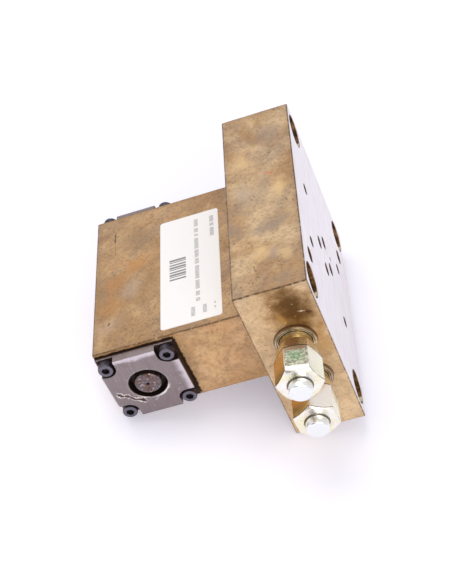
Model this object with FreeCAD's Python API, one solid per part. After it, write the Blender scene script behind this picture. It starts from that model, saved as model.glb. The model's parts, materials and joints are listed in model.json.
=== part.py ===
import FreeCAD, Part
import math
import os

# Non-return valve block, in millimetres.
# Origin: centre of the port face. +X leaves the port face, -Y points at the relief cartridges, +Z is up.
# Two pilot-operated non-return valves lie back to back in the valve body, along Y.
# "depth" counts from the middle plane of the valve body towards either end.
# "reach" counts from the plate's end face outwards along a relief cartridge, so it is negative inside.

# Plate
plate_thickness = 40.0
plate_length = 150.0
plate_height = 110.0
block_chamfer = 0.5
cut_overrun = 1.0

# Corner bolts, M12 with sunk heads
corner_inset = 12.0
corner_bolt_bore = 13.5
corner_head_bore = 20.0
corner_head_depth = 13.0

# Servo valve interface on the port face
valve_bolt_span_y = 44.45
valve_bolt_span_z = 65.07
valve_bolt_core = 6.8
valve_bolt_depth = 16.0
port_circle = 22.225
port_bore = 7.9
port_depth = 24.0
pin_y = 10.7
pin_z = -13.0
pin_bore = 3.0
pin_depth = 5.0

# Pilot ports on the port face
pilot_port_y = 41.0
pilot_port_z = 40.5
pilot_port_bore = 9.2
pilot_port_depth = 14.0
pilot_port_lead = 5.0

# Cross drillings that link each pilot port to the joint face, closed by plugs on the bottom face
cross_drilling_from_joint = 9.0
drill_overrun = 0.6
plug_diameter = 6.0
plug_length = 6.0

# Valve body and its two stepped bores
body_width = 90.0
body_length = 110.0
body_height = 50.0
valve_axis_from_joint = 67.0
load_chamber_bore = 20.0
main_bore = 26.0
feed_groove_bore = 31.0
feed_groove_width = 5.0
feed_offset = 6.5
feed_bore = 7.0
pilot_offset = 2.5
pilot_bore = 3.5
tail_guide_length = 5.8

# From the middle of the body to its end, these four share the length in these parts
centre_wall_part = 7.0
load_chamber_part = 13.0
sleeve_part = 26.0
gland_part = 9.0

# Seat sleeve
seat_bore = 11.0
seat_land = 3.5
flow_chamber_bore = 17.0
flow_chamber_length = 6.0
stem_guide_length = 3.5
cylinder_bore = 21.0
window_bore = 5.0
window_count = 4
pilot_groove_width = 3.0
pilot_groove_bore = 24.2
sleeve_pilot_bore = 2.6

# Plunger and poppet
plunger_travel = 3.0
stem_tip_diameter = 5.0
stem_tip_length = 6.2
stem_diameter = 8.0
piston_length = 3.7
stop_diameter = 18.0
stop_length = 2.7
rod_diameter = 15.0
rod_chamfer = 0.6
centre_drill_bore = 1.7
centre_drill_depth = 3.0
poppet_diameter = 16.0
poppet_nose_diameter = 6.0
poppet_back_gap = 0.6
poppet_skirt_wall = 1.4
spring_pocket_depth = 4.4
tail_diameter = 6.0
tail_end_gap = 0.4

# Springs, square wire
check_wire = 1.0
check_turns = 3.0
relief_wire = 1.1
relief_turns = 5.0
spring_steps = 10

# Covers and their M5 screws
cover_size = 45.0
cover_thickness = 6.5
cover_hole = 21.5
cover_hole_chamfer = 0.4
cover_edge_bevel = 1.2
notch_inset = 4.8
notch_radius = 5.6
notch_floor = 2.0
cover_screw_head = 8.5
cover_screw_head_height = 5.0
cover_screw_shank = 5.0
cover_screw_length = 14.0
cover_screw_socket = 4.0
cover_screw_socket_depth = 2.5
cover_screw_clearance = 0.4
tapping_runout = 1.0

# Long M6 screws that hold the valve body to the plate
body_screw_y = 34.0
body_screw_z = 18.0
body_screw_shank = 6.0
body_screw_clearance = 0.4
body_screw_head = 10.0
body_screw_head_height = 6.0
body_screw_head_bore = 10.6
body_screw_head_depth = 6.6
body_screw_socket = 5.0
body_screw_socket_depth = 3.0
body_screw_thread = 11.0

# Relief cartridges
cartridge_axis_from_port_face = 18.2
cartridge_pitch = 29.4
cartridge_pair_offset = 1.3
cartridge_thread = 16.0
cartridge_thread_length = 18.0
nose_bore = 12.0
nose_length = 12.0
gallery_bore = 8.0
seal_ring_diameter = 22.6
seal_ring_bore = 16.2
seal_ring_thickness = 2.0
collar_diameter = 17.4
collar_length = 2.3
neck_diameter = 15.8
neck_length = 2.3
cartridge_hex = 19.0
cartridge_hex_length = 7.0
cartridge_hex_face = 18.0
spigot_diameter = 15.4
spigot_length = 8.0
nut_chamfer_angle = 30.0
relief_seat_bore = 5.0
relief_seat_land = 2.5
relief_chamber_bore = 7.5
relief_window_bore = 2.6
relief_window_count = 4
relief_window_from_nose_end = 8.0
relief_window_groove = 4.0
relief_window_groove_diameter = 10.4
relief_tip_diameter = 2.0
relief_cone_diameter = 6.4
relief_cone_rim = 1.0
relief_neck_diameter = 4.6
relief_land_length = 5.0
relief_land_from_nose_end = 10.5
return_bore = 6.0
return_port_bore = 8.8
return_port_depth = 12.0

# Cap nut and pressure setting
cap_hex = 22.0
cap_length = 18.4
cap_face_diameter = 21.4
cap_crown_diameter = 12.5
cap_crown_length = 5.8
cap_crown_chamfer = 0.8
cap_cavity_depth = 15.0
cap_crown_bore = 8.8
cap_crown_wall = 2.8
lower_cap_backoff = 0.5
adjuster_diameter = 8.0
adjuster_length = 22.0
adjuster_tip_clearance = 0.5
adjuster_tip_taper = 1.0
adjuster_thread_runout = 1.0
adjuster_socket = 4.0
adjuster_socket_depth = 4.0
lock_nut_hex = 13.0
lock_nut_height = 5.0
adjuster_start = 6.0

# Seals, all of square section
seal_section = 1.7
seal_clearance = 0.05
joint_seal_depth = 1.4
joint_seal_wall = 1.0

# Label
label_width = 35.6
label_length = 88.4
label_from_joint = 14.4
label_shift = -6.2
label_radius = 2.0
label_thickness = 0.15

# Fits
running_gap = 0.05
thread_gap = 0.05
static_gap = 0.05
seat_gap = 0.08
contact_gap = 0.1

# Levels worked out from the sizes above
joint_face_x = -plate_thickness
valve_axis_x = joint_face_x - valve_axis_from_joint
body_left_x = joint_face_x - body_width
body_end = body_length / 2.0
cover_face = body_end + cover_thickness
part_length = body_end / (centre_wall_part + load_chamber_part + sleeve_part + gland_part)
wall_depth = centre_wall_part * part_length
seat_depth = wall_depth + load_chamber_part * part_length
sleeve_end = seat_depth + sleeve_part * part_length
gland_length = body_end - sleeve_end
feed_depth = seat_depth + feed_offset
pilot_depth = sleeve_end - pilot_offset
load_port_depth = port_circle / 2.0
chamber_start = seat_depth + seat_land
guide_start = chamber_start + flow_chamber_length
cylinder_start = guide_start + stem_guide_length
notch_centre = cover_size / 2.0 - notch_inset
cartridge_x = -cartridge_axis_from_port_face
cartridge_inner_end = -(cartridge_thread_length + nose_length)
collar_end = seal_ring_thickness + collar_length
hex_start = collar_end + neck_length
hex_end = hex_start + cartridge_hex_length
spigot_end = hex_end + spigot_length
relief_seat = cartridge_inner_end + relief_seat_land
relief_window = cartridge_inner_end + relief_window_from_nose_end
relief_land_start = cartridge_inner_end + relief_land_from_nose_end
relief_land_end = relief_land_start + relief_land_length


def vector(x, y, z):
    return FreeCAD.Vector(x, y, z)


def block(x0, x1, y0, y1, z0, z1):
    return Part.makeBox(x1 - x0, y1 - y0, z1 - z0, vector(x0, y0, z0))


def drill(start, direction, diameter, length):
    return Part.makeCylinder(diameter / 2.0, length, start, direction)


def slanted_drill(mouth, end, diameter):
    """A drilling between two points, begun far enough outside the face to open its mouth fully."""
    way = end.sub(mouth).normalize()
    start = mouth - way * diameter
    return Part.makeCylinder(diameter / 2.0, end.distanceToPoint(start), start, way)


def placed(shape, origin, direction):
    """Moves a shape made along +Z so that its axis leaves the origin in the given direction."""
    turn = FreeCAD.Rotation(vector(0, 0, 1), direction)
    shape.Placement = FreeCAD.Placement(origin, turn)
    return shape


def turned(profile, origin, direction):
    """Revolves a closed profile of (distance along the axis, radius) points."""
    points = [vector(radius, 0, along) for along, radius in profile]
    face = Part.Face(Part.makePolygon(points + points[:1]))
    solid = face.revolve(vector(0, 0, 0), vector(0, 0, 1), 360)
    return placed(solid, origin, direction)


def ring(start, length, inner, outer, origin, direction):
    """A square-section ring between two diameters."""
    r0 = inner / 2.0
    r1 = outer / 2.0
    return turned([(start, r0), (start + length, r0), (start + length, r1), (start, r1)], origin, direction)


def hexagon(across_flats, start, length, origin, direction, turn=0.0):
    """A hexagonal prism. For an axis along Y one flat faces +Z, less a clockwise turn seen from its far end."""
    radius = across_flats / math.sqrt(3.0)
    points = []
    for side in range(7):
        angle = math.radians(60.0 * side - turn)
        across = radius * math.cos(angle)
        up = radius * math.sin(angle)
        points.append(origin + direction * start + cross_axes(direction, across, up))
    return Part.Face(Part.makePolygon(points)).extrude(direction * length)


def chamfered_hexagon(across_flats, face_diameter, start, end):
    """Turned outline of a hexagon's corners, with both ends chamfered down to a round face."""
    corner = across_flats / math.sqrt(3.0)
    face = face_diameter / 2.0
    slope = (corner - face) * math.tan(math.radians(nut_chamfer_angle))
    return [(start, face), (start + slope, corner), (end - slope, corner), (end, face)]


def waste_round_hexagon(across_flats, inner, start, length, origin, direction, turn):
    """What is milled off a turned blank to leave the flats."""
    blank = 2.0 * (across_flats / math.sqrt(3.0) + cut_overrun)
    outside = ring(start, length, inner, blank, origin, direction)
    return outside.cut(hexagon(across_flats, start, length, origin, direction, turn))


def cross_axes(direction, across, up):
    """A vector square to the axis: across lies level, up lies along Z for level axes."""
    level = vector(0, 0, 1).cross(direction)
    return level * across + vector(0, 0, 1) * up


def helix_spring(start, end, mean_diameter, wire, turns, origin, direction):
    """A compression spring of square wire, as a ruled loft through turned sections."""
    sections = []
    steps = int(turns * spring_steps)
    rise = end - start - wire
    for step in range(steps + 1):
        angle = 2.0 * math.pi * step / spring_steps
        low = start + rise * step / steps
        inner = mean_diameter / 2.0 - wire / 2.0
        outer = inner + wire
        corners = [(low, inner), (low, outer), (low + wire, outer), (low + wire, inner)]
        points = [vector(r * math.cos(angle), r * math.sin(angle), along) for along, r in corners]
        sections.append(Part.makePolygon(points + points[:1]))
    coil = Part.makeLoft(sections, True, True)
    return placed(coil, origin, direction)


def machined(solid, cuts):
    """Makes the cuts one after another, as separate operations."""
    for cut in cuts:
        solid = solid.cut(cut)
    return solid


def save(name, shape):
    """Writes one sub-part. A list becomes a group of separate solids."""
    if isinstance(shape, list):
        shape = Part.makeCompound(shape)
    bad = [solid for solid in shape.Solids if not solid.isValid() or solid.Volume <= 0]
    if bad or not shape.Solids:
        raise ValueError("no sound solid in " + name)
    shape.exportStep("parts/" + name + ".step")


# The two valve ends share one description: "outward" is -Y at the front and +Y at the rear.
valve_origin = vector(valve_axis_x, 0, 0)
valve_ends = {"front": vector(0, -1, 0), "rear": vector(0, 1, 0)}

# The two cartridges share one description too, and both leave the plate towards -Y.
cartridge_outward = vector(0, -1, 0)
cartridge_levels = {
    "upper": cartridge_pair_offset + cartridge_pitch / 2.0,
    "lower": cartridge_pair_offset - cartridge_pitch / 2.0,
}
cap_starts = {"upper": hex_end, "lower": hex_end + lower_cap_backoff}

# Turn of each hexagon in degrees, as it was left when the thread came tight.
cap_turns = {"upper": 10.0, "lower": 27.0}
cartridge_turns = {"upper": 14.0, "lower": 16.0}

# Each cover has one bevelled outer edge, and the rear cover is fitted a quarter turn round.
bevelled_sides = {"front": vector(-1, 0, 0), "rear": vector(0, 0, 1)}


def cartridge_origin(name):
    return vector(cartridge_x, -plate_length / 2.0, cartridge_levels[name])


def corner_places():
    y = plate_length / 2.0 - corner_inset
    z = plate_height / 2.0 - corner_inset
    return [(sy * y, sz * z) for sy in (-1, 1) for sz in (-1, 1)]


def body_screw_places():
    return [(sy * body_screw_y, sz * body_screw_z) for sy in (-1, 1) for sz in (-1, 1)]


def cover_screw_places():
    return [(sx * notch_centre, sz * notch_centre) for sx in (-1, 1) for sz in (-1, 1)]


def joint_drillings():
    """Passages across the joint face: depth along the valve, and diameter."""
    return [(load_port_depth, port_bore), (feed_depth, feed_bore), (pilot_depth, pilot_bore)]


def joint_seal_bore(bore):
    """Outer diameter of the seal recess round one passage."""
    return bore + 2.0 * (joint_seal_wall + seal_section)


def chamfered_block(x0, x1, y0, y1, z0, z1):
    solid = block(x0, x1, y0, y1, z0, z1)
    return solid.makeChamfer(block_chamfer, solid.Edges)


def base_block():
    solid = chamfered_block(-plate_thickness, 0, -plate_length / 2.0, plate_length / 2.0,
                            -plate_height / 2.0, plate_height / 2.0)
    inward = vector(-1, 0, 0)
    cuts = []
    for y, z in corner_places():
        cuts.append(drill(vector(0, y, z), inward, corner_bolt_bore, plate_thickness))
        cuts.append(drill(vector(0, y, z), inward, corner_head_bore, corner_head_depth))
    for sy in (-1, 1):
        for sz in (-1, 1):
            spot = vector(0, sy * valve_bolt_span_y / 2.0, sz * valve_bolt_span_z / 2.0)
            cuts.append(drill(spot, inward, valve_bolt_core, valve_bolt_depth))
    cuts.append(drill(vector(0, pin_y, pin_z), inward, pin_bore, pin_depth))
    cuts += load_ports() + feed_passages() + pilot_passages()
    for name in cartridge_levels:
        cuts += cartridge_cavity(name)
    cuts += return_passage()
    for y, z in body_screw_places():
        spot = vector(joint_face_x, y, z)
        cuts.append(drill(spot, vector(1, 0, 0), body_screw_shank, body_screw_thread + tapping_runout))
    return machined(solid, cuts)


def load_ports():
    """The two outlet ports run straight through the plate."""
    return [drill(vector(0, side * load_port_depth, 0), vector(-1, 0, 0), port_bore, plate_thickness)
            for side in (-1, 1)]


def feed_passages():
    """The two inlet ports meet the galleries, and slanted drillings lead on to the valve body."""
    cuts = []
    for name, side in (("upper", -1), ("lower", 1)):
        level = cartridge_levels[name]
        port_z = math.copysign(port_circle / 2.0, level)
        cuts.append(drill(vector(0, 0, port_z), vector(-1, 0, 0), port_bore, port_depth))
        y = side * feed_depth
        cuts.append(slanted_drill(vector(joint_face_x, y, 0), vector(cartridge_x, y, level), feed_bore))
    return cuts


def pilot_passages():
    """Each pilot port leads to a cross drilling from the bottom face, and that one to the joint face."""
    cuts = []
    cross_x = joint_face_x + cross_drilling_from_joint
    past_cross = pilot_bore / 2.0 + drill_overrun
    for side in (-1, 1):
        y = side * pilot_port_y
        z = -side * pilot_port_z
        inward = vector(-1, 0, 0)
        cuts.append(drill(vector(0, y, z), inward, pilot_port_bore, pilot_port_depth))
        cuts.append(drill(vector(0, y, z), inward, pilot_port_lead, -cross_x + past_cross))
        joint_spot = vector(joint_face_x, side * pilot_depth, 0)
        joint_reach = cross_drilling_from_joint + past_cross
        cuts.append(drill(joint_spot, vector(1, 0, 0), pilot_bore, joint_reach))
        top = max(z, 0) + past_cross
        cuts.append(drill(cross_drilling_mouth(side), vector(0, 0, 1), pilot_bore, top + plate_height / 2.0))
        cuts.append(drill(cross_drilling_mouth(side), vector(0, 0, 1), plug_diameter, plug_length))
    return cuts


def cross_drilling_mouth(side):
    return vector(joint_face_x + cross_drilling_from_joint, side * pilot_depth, -plate_height / 2.0)


def drilling_plugs():
    """Press-in plugs, flush with the bottom face."""
    diameter = plug_diameter - 2.0 * static_gap
    return [drill(cross_drilling_mouth(side), vector(0, 0, 1), diameter, plug_length) for side in (-1, 1)]


def cartridge_cavity(name):
    """Threaded mouth, nose bore and the gallery that ends at its slanted drilling."""
    origin = cartridge_origin(name)
    inward = cartridge_outward * -1.0
    mouth = drill(origin, inward, cartridge_thread, cartridge_thread_length)
    nose = drill(origin, inward, nose_bore, -cartridge_inner_end)
    side = -1 if name == "upper" else 1
    far_y = max(side * feed_depth + feed_bore / 2.0, port_bore / 2.0)
    gallery = drill(origin, inward, gallery_bore, far_y - origin.y)
    return [mouth, nose, gallery]


def return_passage():
    """Relief oil leaves both cartridges through one drilling that opens on the bottom face."""
    y = -plate_length / 2.0 - relief_window
    bottom = -plate_height / 2.0
    top = cartridge_levels["upper"]
    start = vector(cartridge_x, y, bottom)
    up = vector(0, 0, 1)
    rise = top - bottom + drill_overrun
    return [drill(start, up, return_bore, rise), drill(start, up, return_port_bore, return_port_depth)]


def valve_body():
    solid = chamfered_block(body_left_x, joint_face_x, -body_end, body_end,
                            -body_height / 2.0, body_height / 2.0)
    cuts = []
    for outward in valve_ends.values():
        cuts += valve_bore(outward)
        for x, z in cover_screw_places():
            spot = valve_origin + outward * body_end + vector(x, 0, z)
            depth = cover_screw_length - notch_floor + tapping_runout
            cuts.append(drill(spot, outward * -1.0, cover_screw_shank, depth))
    for y, z in body_screw_places():
        spot = vector(body_left_x, y, z)
        cuts.append(drill(spot, vector(1, 0, 0), body_screw_shank + body_screw_clearance, body_width))
        cuts.append(drill(spot, vector(1, 0, 0), body_screw_head_bore, body_screw_head_depth))
    return machined(solid, cuts)


def valve_bore(outward):
    """One stepped bore: tail guide, load chamber, main bore and feed groove, with its three passages."""
    tail_hole = tail_diameter + 2.0 * running_gap
    profile = [
        (wall_depth - tail_guide_length, 0),
        (wall_depth - tail_guide_length, tail_hole / 2.0),
        (wall_depth, tail_hole / 2.0),
        (wall_depth, load_chamber_bore / 2.0),
        (seat_depth, load_chamber_bore / 2.0),
        (seat_depth, main_bore / 2.0),
        (feed_depth - feed_groove_width / 2.0, main_bore / 2.0),
        (feed_depth - feed_groove_width / 2.0, feed_groove_bore / 2.0),
        (feed_depth + feed_groove_width / 2.0, feed_groove_bore / 2.0),
        (feed_depth + feed_groove_width / 2.0, main_bore / 2.0),
        (body_end, main_bore / 2.0),
        (body_end, 0),
    ]
    cuts = [turned(profile, valve_origin, outward)]
    for depth, bore in joint_drillings():
        spot = vector(joint_face_x, outward.y * depth, 0)
        cuts.append(drill(spot, vector(-1, 0, 0), bore, valve_axis_from_joint))
        cuts.append(drill(spot, vector(-1, 0, 0), joint_seal_bore(bore), joint_seal_depth))
    return cuts


def joint_seals():
    rings = []
    for outward in valve_ends.values():
        for depth, bore in joint_drillings():
            outer = joint_seal_bore(bore) - 2.0 * seal_clearance
            inner = outer - 2.0 * seal_section
            spot = vector(joint_face_x, outward.y * depth, 0)
            length = joint_seal_depth - 2.0 * seal_clearance
            rings.append(ring(seal_clearance, length, inner, outer, spot, vector(-1, 0, 0)))
    return rings


def groove_diameter(bore):
    """Bottom of a seal groove turned into a shaft that fits the bore."""
    return bore - 2.0 * (seal_section + 2.0 * seal_clearance)


def grooved_outside(outer, grooves):
    """Outline of a shaft with square grooves: (start, end, diameter) each, in order along the axis."""
    outline = []
    for start, end, diameter in grooves:
        outline += [(start, outer / 2.0), (start, diameter / 2.0), (end, diameter / 2.0), (end, outer / 2.0)]
    return outline


def sleeve_seal_starts():
    """Start of the seal groove on each side of the feed windows."""
    width = seal_section + 2.0 * seal_clearance
    first = seat_depth + (feed_offset - feed_groove_width / 2.0 - width) / 2.0
    second = pilot_depth - pilot_groove_width / 2.0 - 2.0 * width
    return [first, second]


def seat_sleeve(outward):
    """Valve seat, stem guide and pilot cylinder in one turned sleeve."""
    outer = main_bore - 2.0 * static_gap
    width = seal_section + 2.0 * seal_clearance
    bottom = groove_diameter(main_bore)
    grooves = [(start, start + width, bottom) for start in sleeve_seal_starts()]
    grooves.append((pilot_depth - pilot_groove_width / 2.0, pilot_depth + pilot_groove_width / 2.0,
                    pilot_groove_bore))
    stem_hole = stem_diameter + 2.0 * running_gap
    profile = [(seat_depth, seat_bore / 2.0), (seat_depth, outer / 2.0)]
    profile += grooved_outside(outer, grooves)
    profile += [
        (sleeve_end, outer / 2.0),
        (sleeve_end, cylinder_bore / 2.0),
        (cylinder_start, cylinder_bore / 2.0),
        (cylinder_start, stem_hole / 2.0),
        (guide_start, stem_hole / 2.0),
        (guide_start, flow_chamber_bore / 2.0),
        (chamber_start, flow_chamber_bore / 2.0),
        (chamber_start, seat_bore / 2.0),
    ]
    solid = turned(profile, valve_origin, outward)
    cuts = []
    for number in range(window_count):
        angle = 2.0 * math.pi * number / window_count
        way = cross_axes(outward, math.cos(angle), math.sin(angle))
        cuts.append(drill(valve_origin + outward * feed_depth, way, window_bore, main_bore))
    pilot_hole = valve_origin + outward * pilot_depth
    cuts.append(drill(pilot_hole, vector(1, 0, 0), sleeve_pilot_bore, main_bore))
    return solid.cut(cuts)


def sleeve_seals(outward):
    outer = main_bore - 2.0 * seal_clearance
    inner = groove_diameter(main_bore) + 2.0 * seal_clearance
    return [ring(start + seal_clearance, seal_section, inner, outer, valve_origin, outward)
            for start in sleeve_seal_starts()]


def poppet_nose_depth():
    """The nose ends a 45 degree cone that meets the seat's edge, less the seat gap."""
    return seat_depth - seat_gap + (seat_bore - poppet_nose_diameter) / 2.0


def poppet_back_depth():
    return wall_depth + plunger_travel + poppet_back_gap


def spring_floor_depth():
    return poppet_back_depth() + spring_pocket_depth


def poppet(outward):
    """Cone, skirt with a spring pocket, and a tail that runs in the centre wall."""
    nose = poppet_nose_depth()
    back = poppet_back_depth()
    shoulder = nose - (poppet_diameter - poppet_nose_diameter) / 2.0
    tail_end = wall_depth - tail_guide_length + plunger_travel + tail_end_gap
    skirt_inner = poppet_diameter / 2.0 - poppet_skirt_wall
    profile = [
        (nose, 0),
        (nose, poppet_nose_diameter / 2.0),
        (shoulder, poppet_diameter / 2.0),
        (back, poppet_diameter / 2.0),
        (back, skirt_inner),
        (spring_floor_depth(), skirt_inner),
        (spring_floor_depth(), tail_diameter / 2.0),
        (tail_end, tail_diameter / 2.0),
        (tail_end, 0),
    ]
    return turned(profile, valve_origin, outward)


def check_spring(outward):
    """Stands on the centre wall round the tail and ends in the poppet's pocket."""
    skirt_inner = poppet_diameter - 2.0 * poppet_skirt_wall
    mean = (skirt_inner + tail_diameter) / 2.0
    return helix_spring(wall_depth, spring_floor_depth() - contact_gap, mean, check_wire, check_turns,
                        valve_origin, outward)


def plunger(outward):
    """Stem, piston, stop and the rod whose end lies flush with the cover."""
    tip = poppet_nose_depth() + contact_gap
    stem = tip + stem_tip_length
    stop_end = sleeve_end - contact_gap
    stop = stop_end - stop_length
    piston = stop - piston_length
    piston_radius = cylinder_bore / 2.0 - running_gap
    rod = rod_diameter / 2.0
    profile = [
        (tip, 0),
        (tip, stem_tip_diameter / 2.0),
        (stem, stem_tip_diameter / 2.0),
        (stem, stem_diameter / 2.0),
        (piston, stem_diameter / 2.0),
        (piston, piston_radius),
        (stop, piston_radius),
        (stop, stop_diameter / 2.0),
        (stop_end, stop_diameter / 2.0),
        (stop_end, rod),
        (cover_face - rod_chamfer, rod),
        (cover_face, rod - rod_chamfer),
        (cover_face, 0),
    ]
    solid = turned(profile, valve_origin, outward)
    centre = drill(valve_origin + outward * cover_face, outward * -1.0, centre_drill_bore, centre_drill_depth)
    return solid.cut(centre)


def gland_grooves():
    """Start of the outer seal groove and of the rod seal groove."""
    width = seal_section + 2.0 * seal_clearance
    first = sleeve_end + (gland_length - 2.0 * width) / 3.0
    second = first + width + (gland_length - 2.0 * width) / 3.0
    return first, second


def gland(outward):
    """Bush round the plunger rod, with a groove outside and a groove inside."""
    outer = main_bore - 2.0 * static_gap
    hole = rod_diameter + 2.0 * running_gap
    width = seal_section + 2.0 * seal_clearance
    outside, inside = gland_grooves()
    inside_radius = rod_diameter / 2.0 + seal_section + 2.0 * seal_clearance
    profile = [(sleeve_end, hole / 2.0), (sleeve_end, outer / 2.0)]
    profile += grooved_outside(outer, [(outside, outside + width, groove_diameter(main_bore))])
    profile += [
        (body_end, outer / 2.0),
        (body_end, hole / 2.0),
        (inside + width, hole / 2.0),
        (inside + width, inside_radius),
        (inside, inside_radius),
        (inside, hole / 2.0),
    ]
    return turned(profile, valve_origin, outward)


def gland_seals(outward):
    outside, inside = gland_grooves()
    outer = main_bore - 2.0 * seal_clearance
    rod_inner = rod_diameter + 2.0 * seal_clearance
    inner = groove_diameter(main_bore) + 2.0 * seal_clearance
    return [
        ring(outside + seal_clearance, seal_section, inner, outer, valve_origin, outward),
        ring(inside + seal_clearance, seal_section, rod_inner, rod_inner + 2.0 * seal_section,
             valve_origin, outward),
    ]


def cover(end):
    """Square steel cover with a central hole and a round-bottomed notch at each corner."""
    outward = valve_ends[end]
    half = cover_size / 2.0
    near = outward * body_end
    corner = valve_origin + near + vector(-half, 0, -half)
    solid = Part.makeBox(cover_size, cover_thickness, cover_size, corner)
    if outward.y < 0:
        solid.translate(outward * cover_thickness)
    spot = valve_origin + outward * cover_face + bevelled_sides[end] * half
    edge = [edge for edge in solid.Edges if edge.CenterOfMass.distanceToPoint(spot) < 1e-6]
    solid = solid.makeChamfer(cover_edge_bevel, edge)
    cuts = [cover_opening(outward)]
    for x, z in cover_screw_places():
        spot = valve_origin + near + vector(x, 0, z)
        floor = spot + outward * notch_floor
        cuts.append(drill(floor, outward, 2.0 * notch_radius, cover_thickness))
        cuts.append(notch_corner(floor, x, z, outward))
        cuts.append(drill(spot, outward, cover_screw_shank + cover_screw_clearance, cover_thickness))
    return solid.cut(cuts)


def cover_opening(outward):
    """The hole round the plunger's end, with a broken outer edge."""
    radius = cover_hole / 2.0
    profile = [
        (body_end, 0),
        (body_end, radius),
        (cover_face - cover_hole_chamfer, radius),
        (cover_face, radius + cover_hole_chamfer),
        (cover_face, 0),
    ]
    return turned(profile, valve_origin, outward)


def notch_corner(floor, x, z, outward):
    """The square part of a notch, from the screw's centre lines out past the cover's corner."""
    reach = notch_inset + cut_overrun
    sx = math.copysign(1.0, x)
    sz = math.copysign(1.0, z)
    along_x = block_from(floor, sx * reach, outward.y * cover_thickness, -sz * notch_radius, sz * reach)
    along_z = block_from_x(floor, -sx * notch_radius, sx * reach, outward.y * cover_thickness, sz * reach)
    return along_x.fuse(along_z)


def block_from(spot, dx, dy, z_low, z_high):
    xs = sorted((spot.x, spot.x + dx))
    ys = sorted((spot.y, spot.y + dy))
    zs = sorted((spot.z + z_low, spot.z + z_high))
    return block(xs[0], xs[1], ys[0], ys[1], zs[0], zs[1])


def block_from_x(spot, x_low, x_high, dy, dz):
    xs = sorted((spot.x + x_low, spot.x + x_high))
    ys = sorted((spot.y, spot.y + dy))
    zs = sorted((spot.z, spot.z + dz))
    return block(xs[0], xs[1], ys[0], ys[1], zs[0], zs[1])


def cap_screw(spot, outward, head, head_height, shank, length, socket, depth):
    """Socket-head cap screw. The spot is on the seat under the head, and depth is the socket's."""
    profile = [
        (-length, 0),
        (-length, shank / 2.0 - thread_gap),
        (0, shank / 2.0 - thread_gap),
        (0, head / 2.0),
        (head_height, head / 2.0),
        (head_height, 0),
    ]
    solid = turned(profile, spot, outward)
    radius = socket / math.sqrt(3.0)
    points = []
    for side in range(7):
        angle = math.radians(60.0 * side + 30.0)
        points.append(vector(radius * math.cos(angle), radius * math.sin(angle), head_height - depth))
    pocket = Part.Face(Part.makePolygon(points)).extrude(vector(0, 0, depth + cut_overrun))
    return solid.cut(placed(pocket, spot, outward))


def cover_screws(outward):
    screws = []
    for x, z in cover_screw_places():
        spot = valve_origin + outward * (body_end + notch_floor) + vector(x, 0, z)
        screws.append(cap_screw(spot, outward, cover_screw_head, cover_screw_head_height, cover_screw_shank,
                                cover_screw_length, cover_screw_socket, cover_screw_socket_depth))
    return screws


def body_screws():
    length = body_width - body_screw_head_depth + body_screw_thread
    screws = []
    for y, z in body_screw_places():
        spot = vector(body_left_x + body_screw_head_depth, y, z)
        screws.append(cap_screw(spot, vector(-1, 0, 0), body_screw_head, body_screw_head_height,
                                body_screw_shank, length, body_screw_socket, body_screw_socket_depth))
    return screws


def nose_seal_start():
    """The nose seal lies between the cartridge's inner end and its windows."""
    width = seal_section + 2.0 * seal_clearance
    free = relief_window_from_nose_end - relief_window_groove / 2.0 - width
    return cartridge_inner_end + free / 2.0


def cartridge(name):
    """Turned and milled cartridge body: nose, thread, collar, neck, hexagon and the spigot for the cap."""
    origin = cartridge_origin(name)
    nose = nose_bore / 2.0 - static_gap
    thread = cartridge_thread / 2.0 - thread_gap
    chamber = relief_chamber_bore / 2.0
    width = seal_section + 2.0 * seal_clearance
    half_groove = relief_window_groove / 2.0
    grooves = [
        (nose_seal_start(), nose_seal_start() + width, groove_diameter(nose_bore)),
        (relief_window - half_groove, relief_window + half_groove, relief_window_groove_diameter),
    ]
    runout = adjuster_start - adjuster_thread_runout
    profile = [(cartridge_inner_end, relief_seat_bore / 2.0), (cartridge_inner_end, nose)]
    profile += grooved_outside(2.0 * nose, grooves)
    profile += [
        (-cartridge_thread_length, nose),
        (-cartridge_thread_length, thread),
        (seal_ring_thickness, thread),
        (seal_ring_thickness, collar_diameter / 2.0),
        (collar_end, collar_diameter / 2.0),
        (collar_end, neck_diameter / 2.0),
        (hex_start, neck_diameter / 2.0),
    ]
    profile += chamfered_hexagon(cartridge_hex, cartridge_hex_face, hex_start, hex_end)
    profile += [
        (hex_end, spigot_diameter / 2.0),
        (spigot_end, spigot_diameter / 2.0),
        (spigot_end, adjuster_diameter / 2.0),
        (runout, adjuster_diameter / 2.0),
        (runout, chamber),
        (relief_seat, chamber),
        (relief_seat, relief_seat_bore / 2.0),
    ]
    solid = turned(profile, origin, cartridge_outward)
    cuts = [waste_round_hexagon(cartridge_hex, cartridge_hex_face, hex_start, cartridge_hex_length,
                                origin, cartridge_outward, cartridge_turns[name])]
    for number in range(relief_window_count):
        angle = math.pi * (2.0 * number + 1.0) / relief_window_count
        way = cross_axes(cartridge_outward, math.cos(angle), math.sin(angle))
        cuts.append(drill(origin + cartridge_outward * relief_window, way, relief_window_bore, nose_bore))
    return solid.cut(cuts)


def nose_seal(name):
    outer = nose_bore - 2.0 * seal_clearance
    inner = groove_diameter(nose_bore) + 2.0 * seal_clearance
    return ring(nose_seal_start() + seal_clearance, seal_section, inner, outer,
                cartridge_origin(name), cartridge_outward)


def seal_ring(name):
    return ring(0, seal_ring_thickness, seal_ring_bore, seal_ring_diameter,
                cartridge_origin(name), cartridge_outward)


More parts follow.
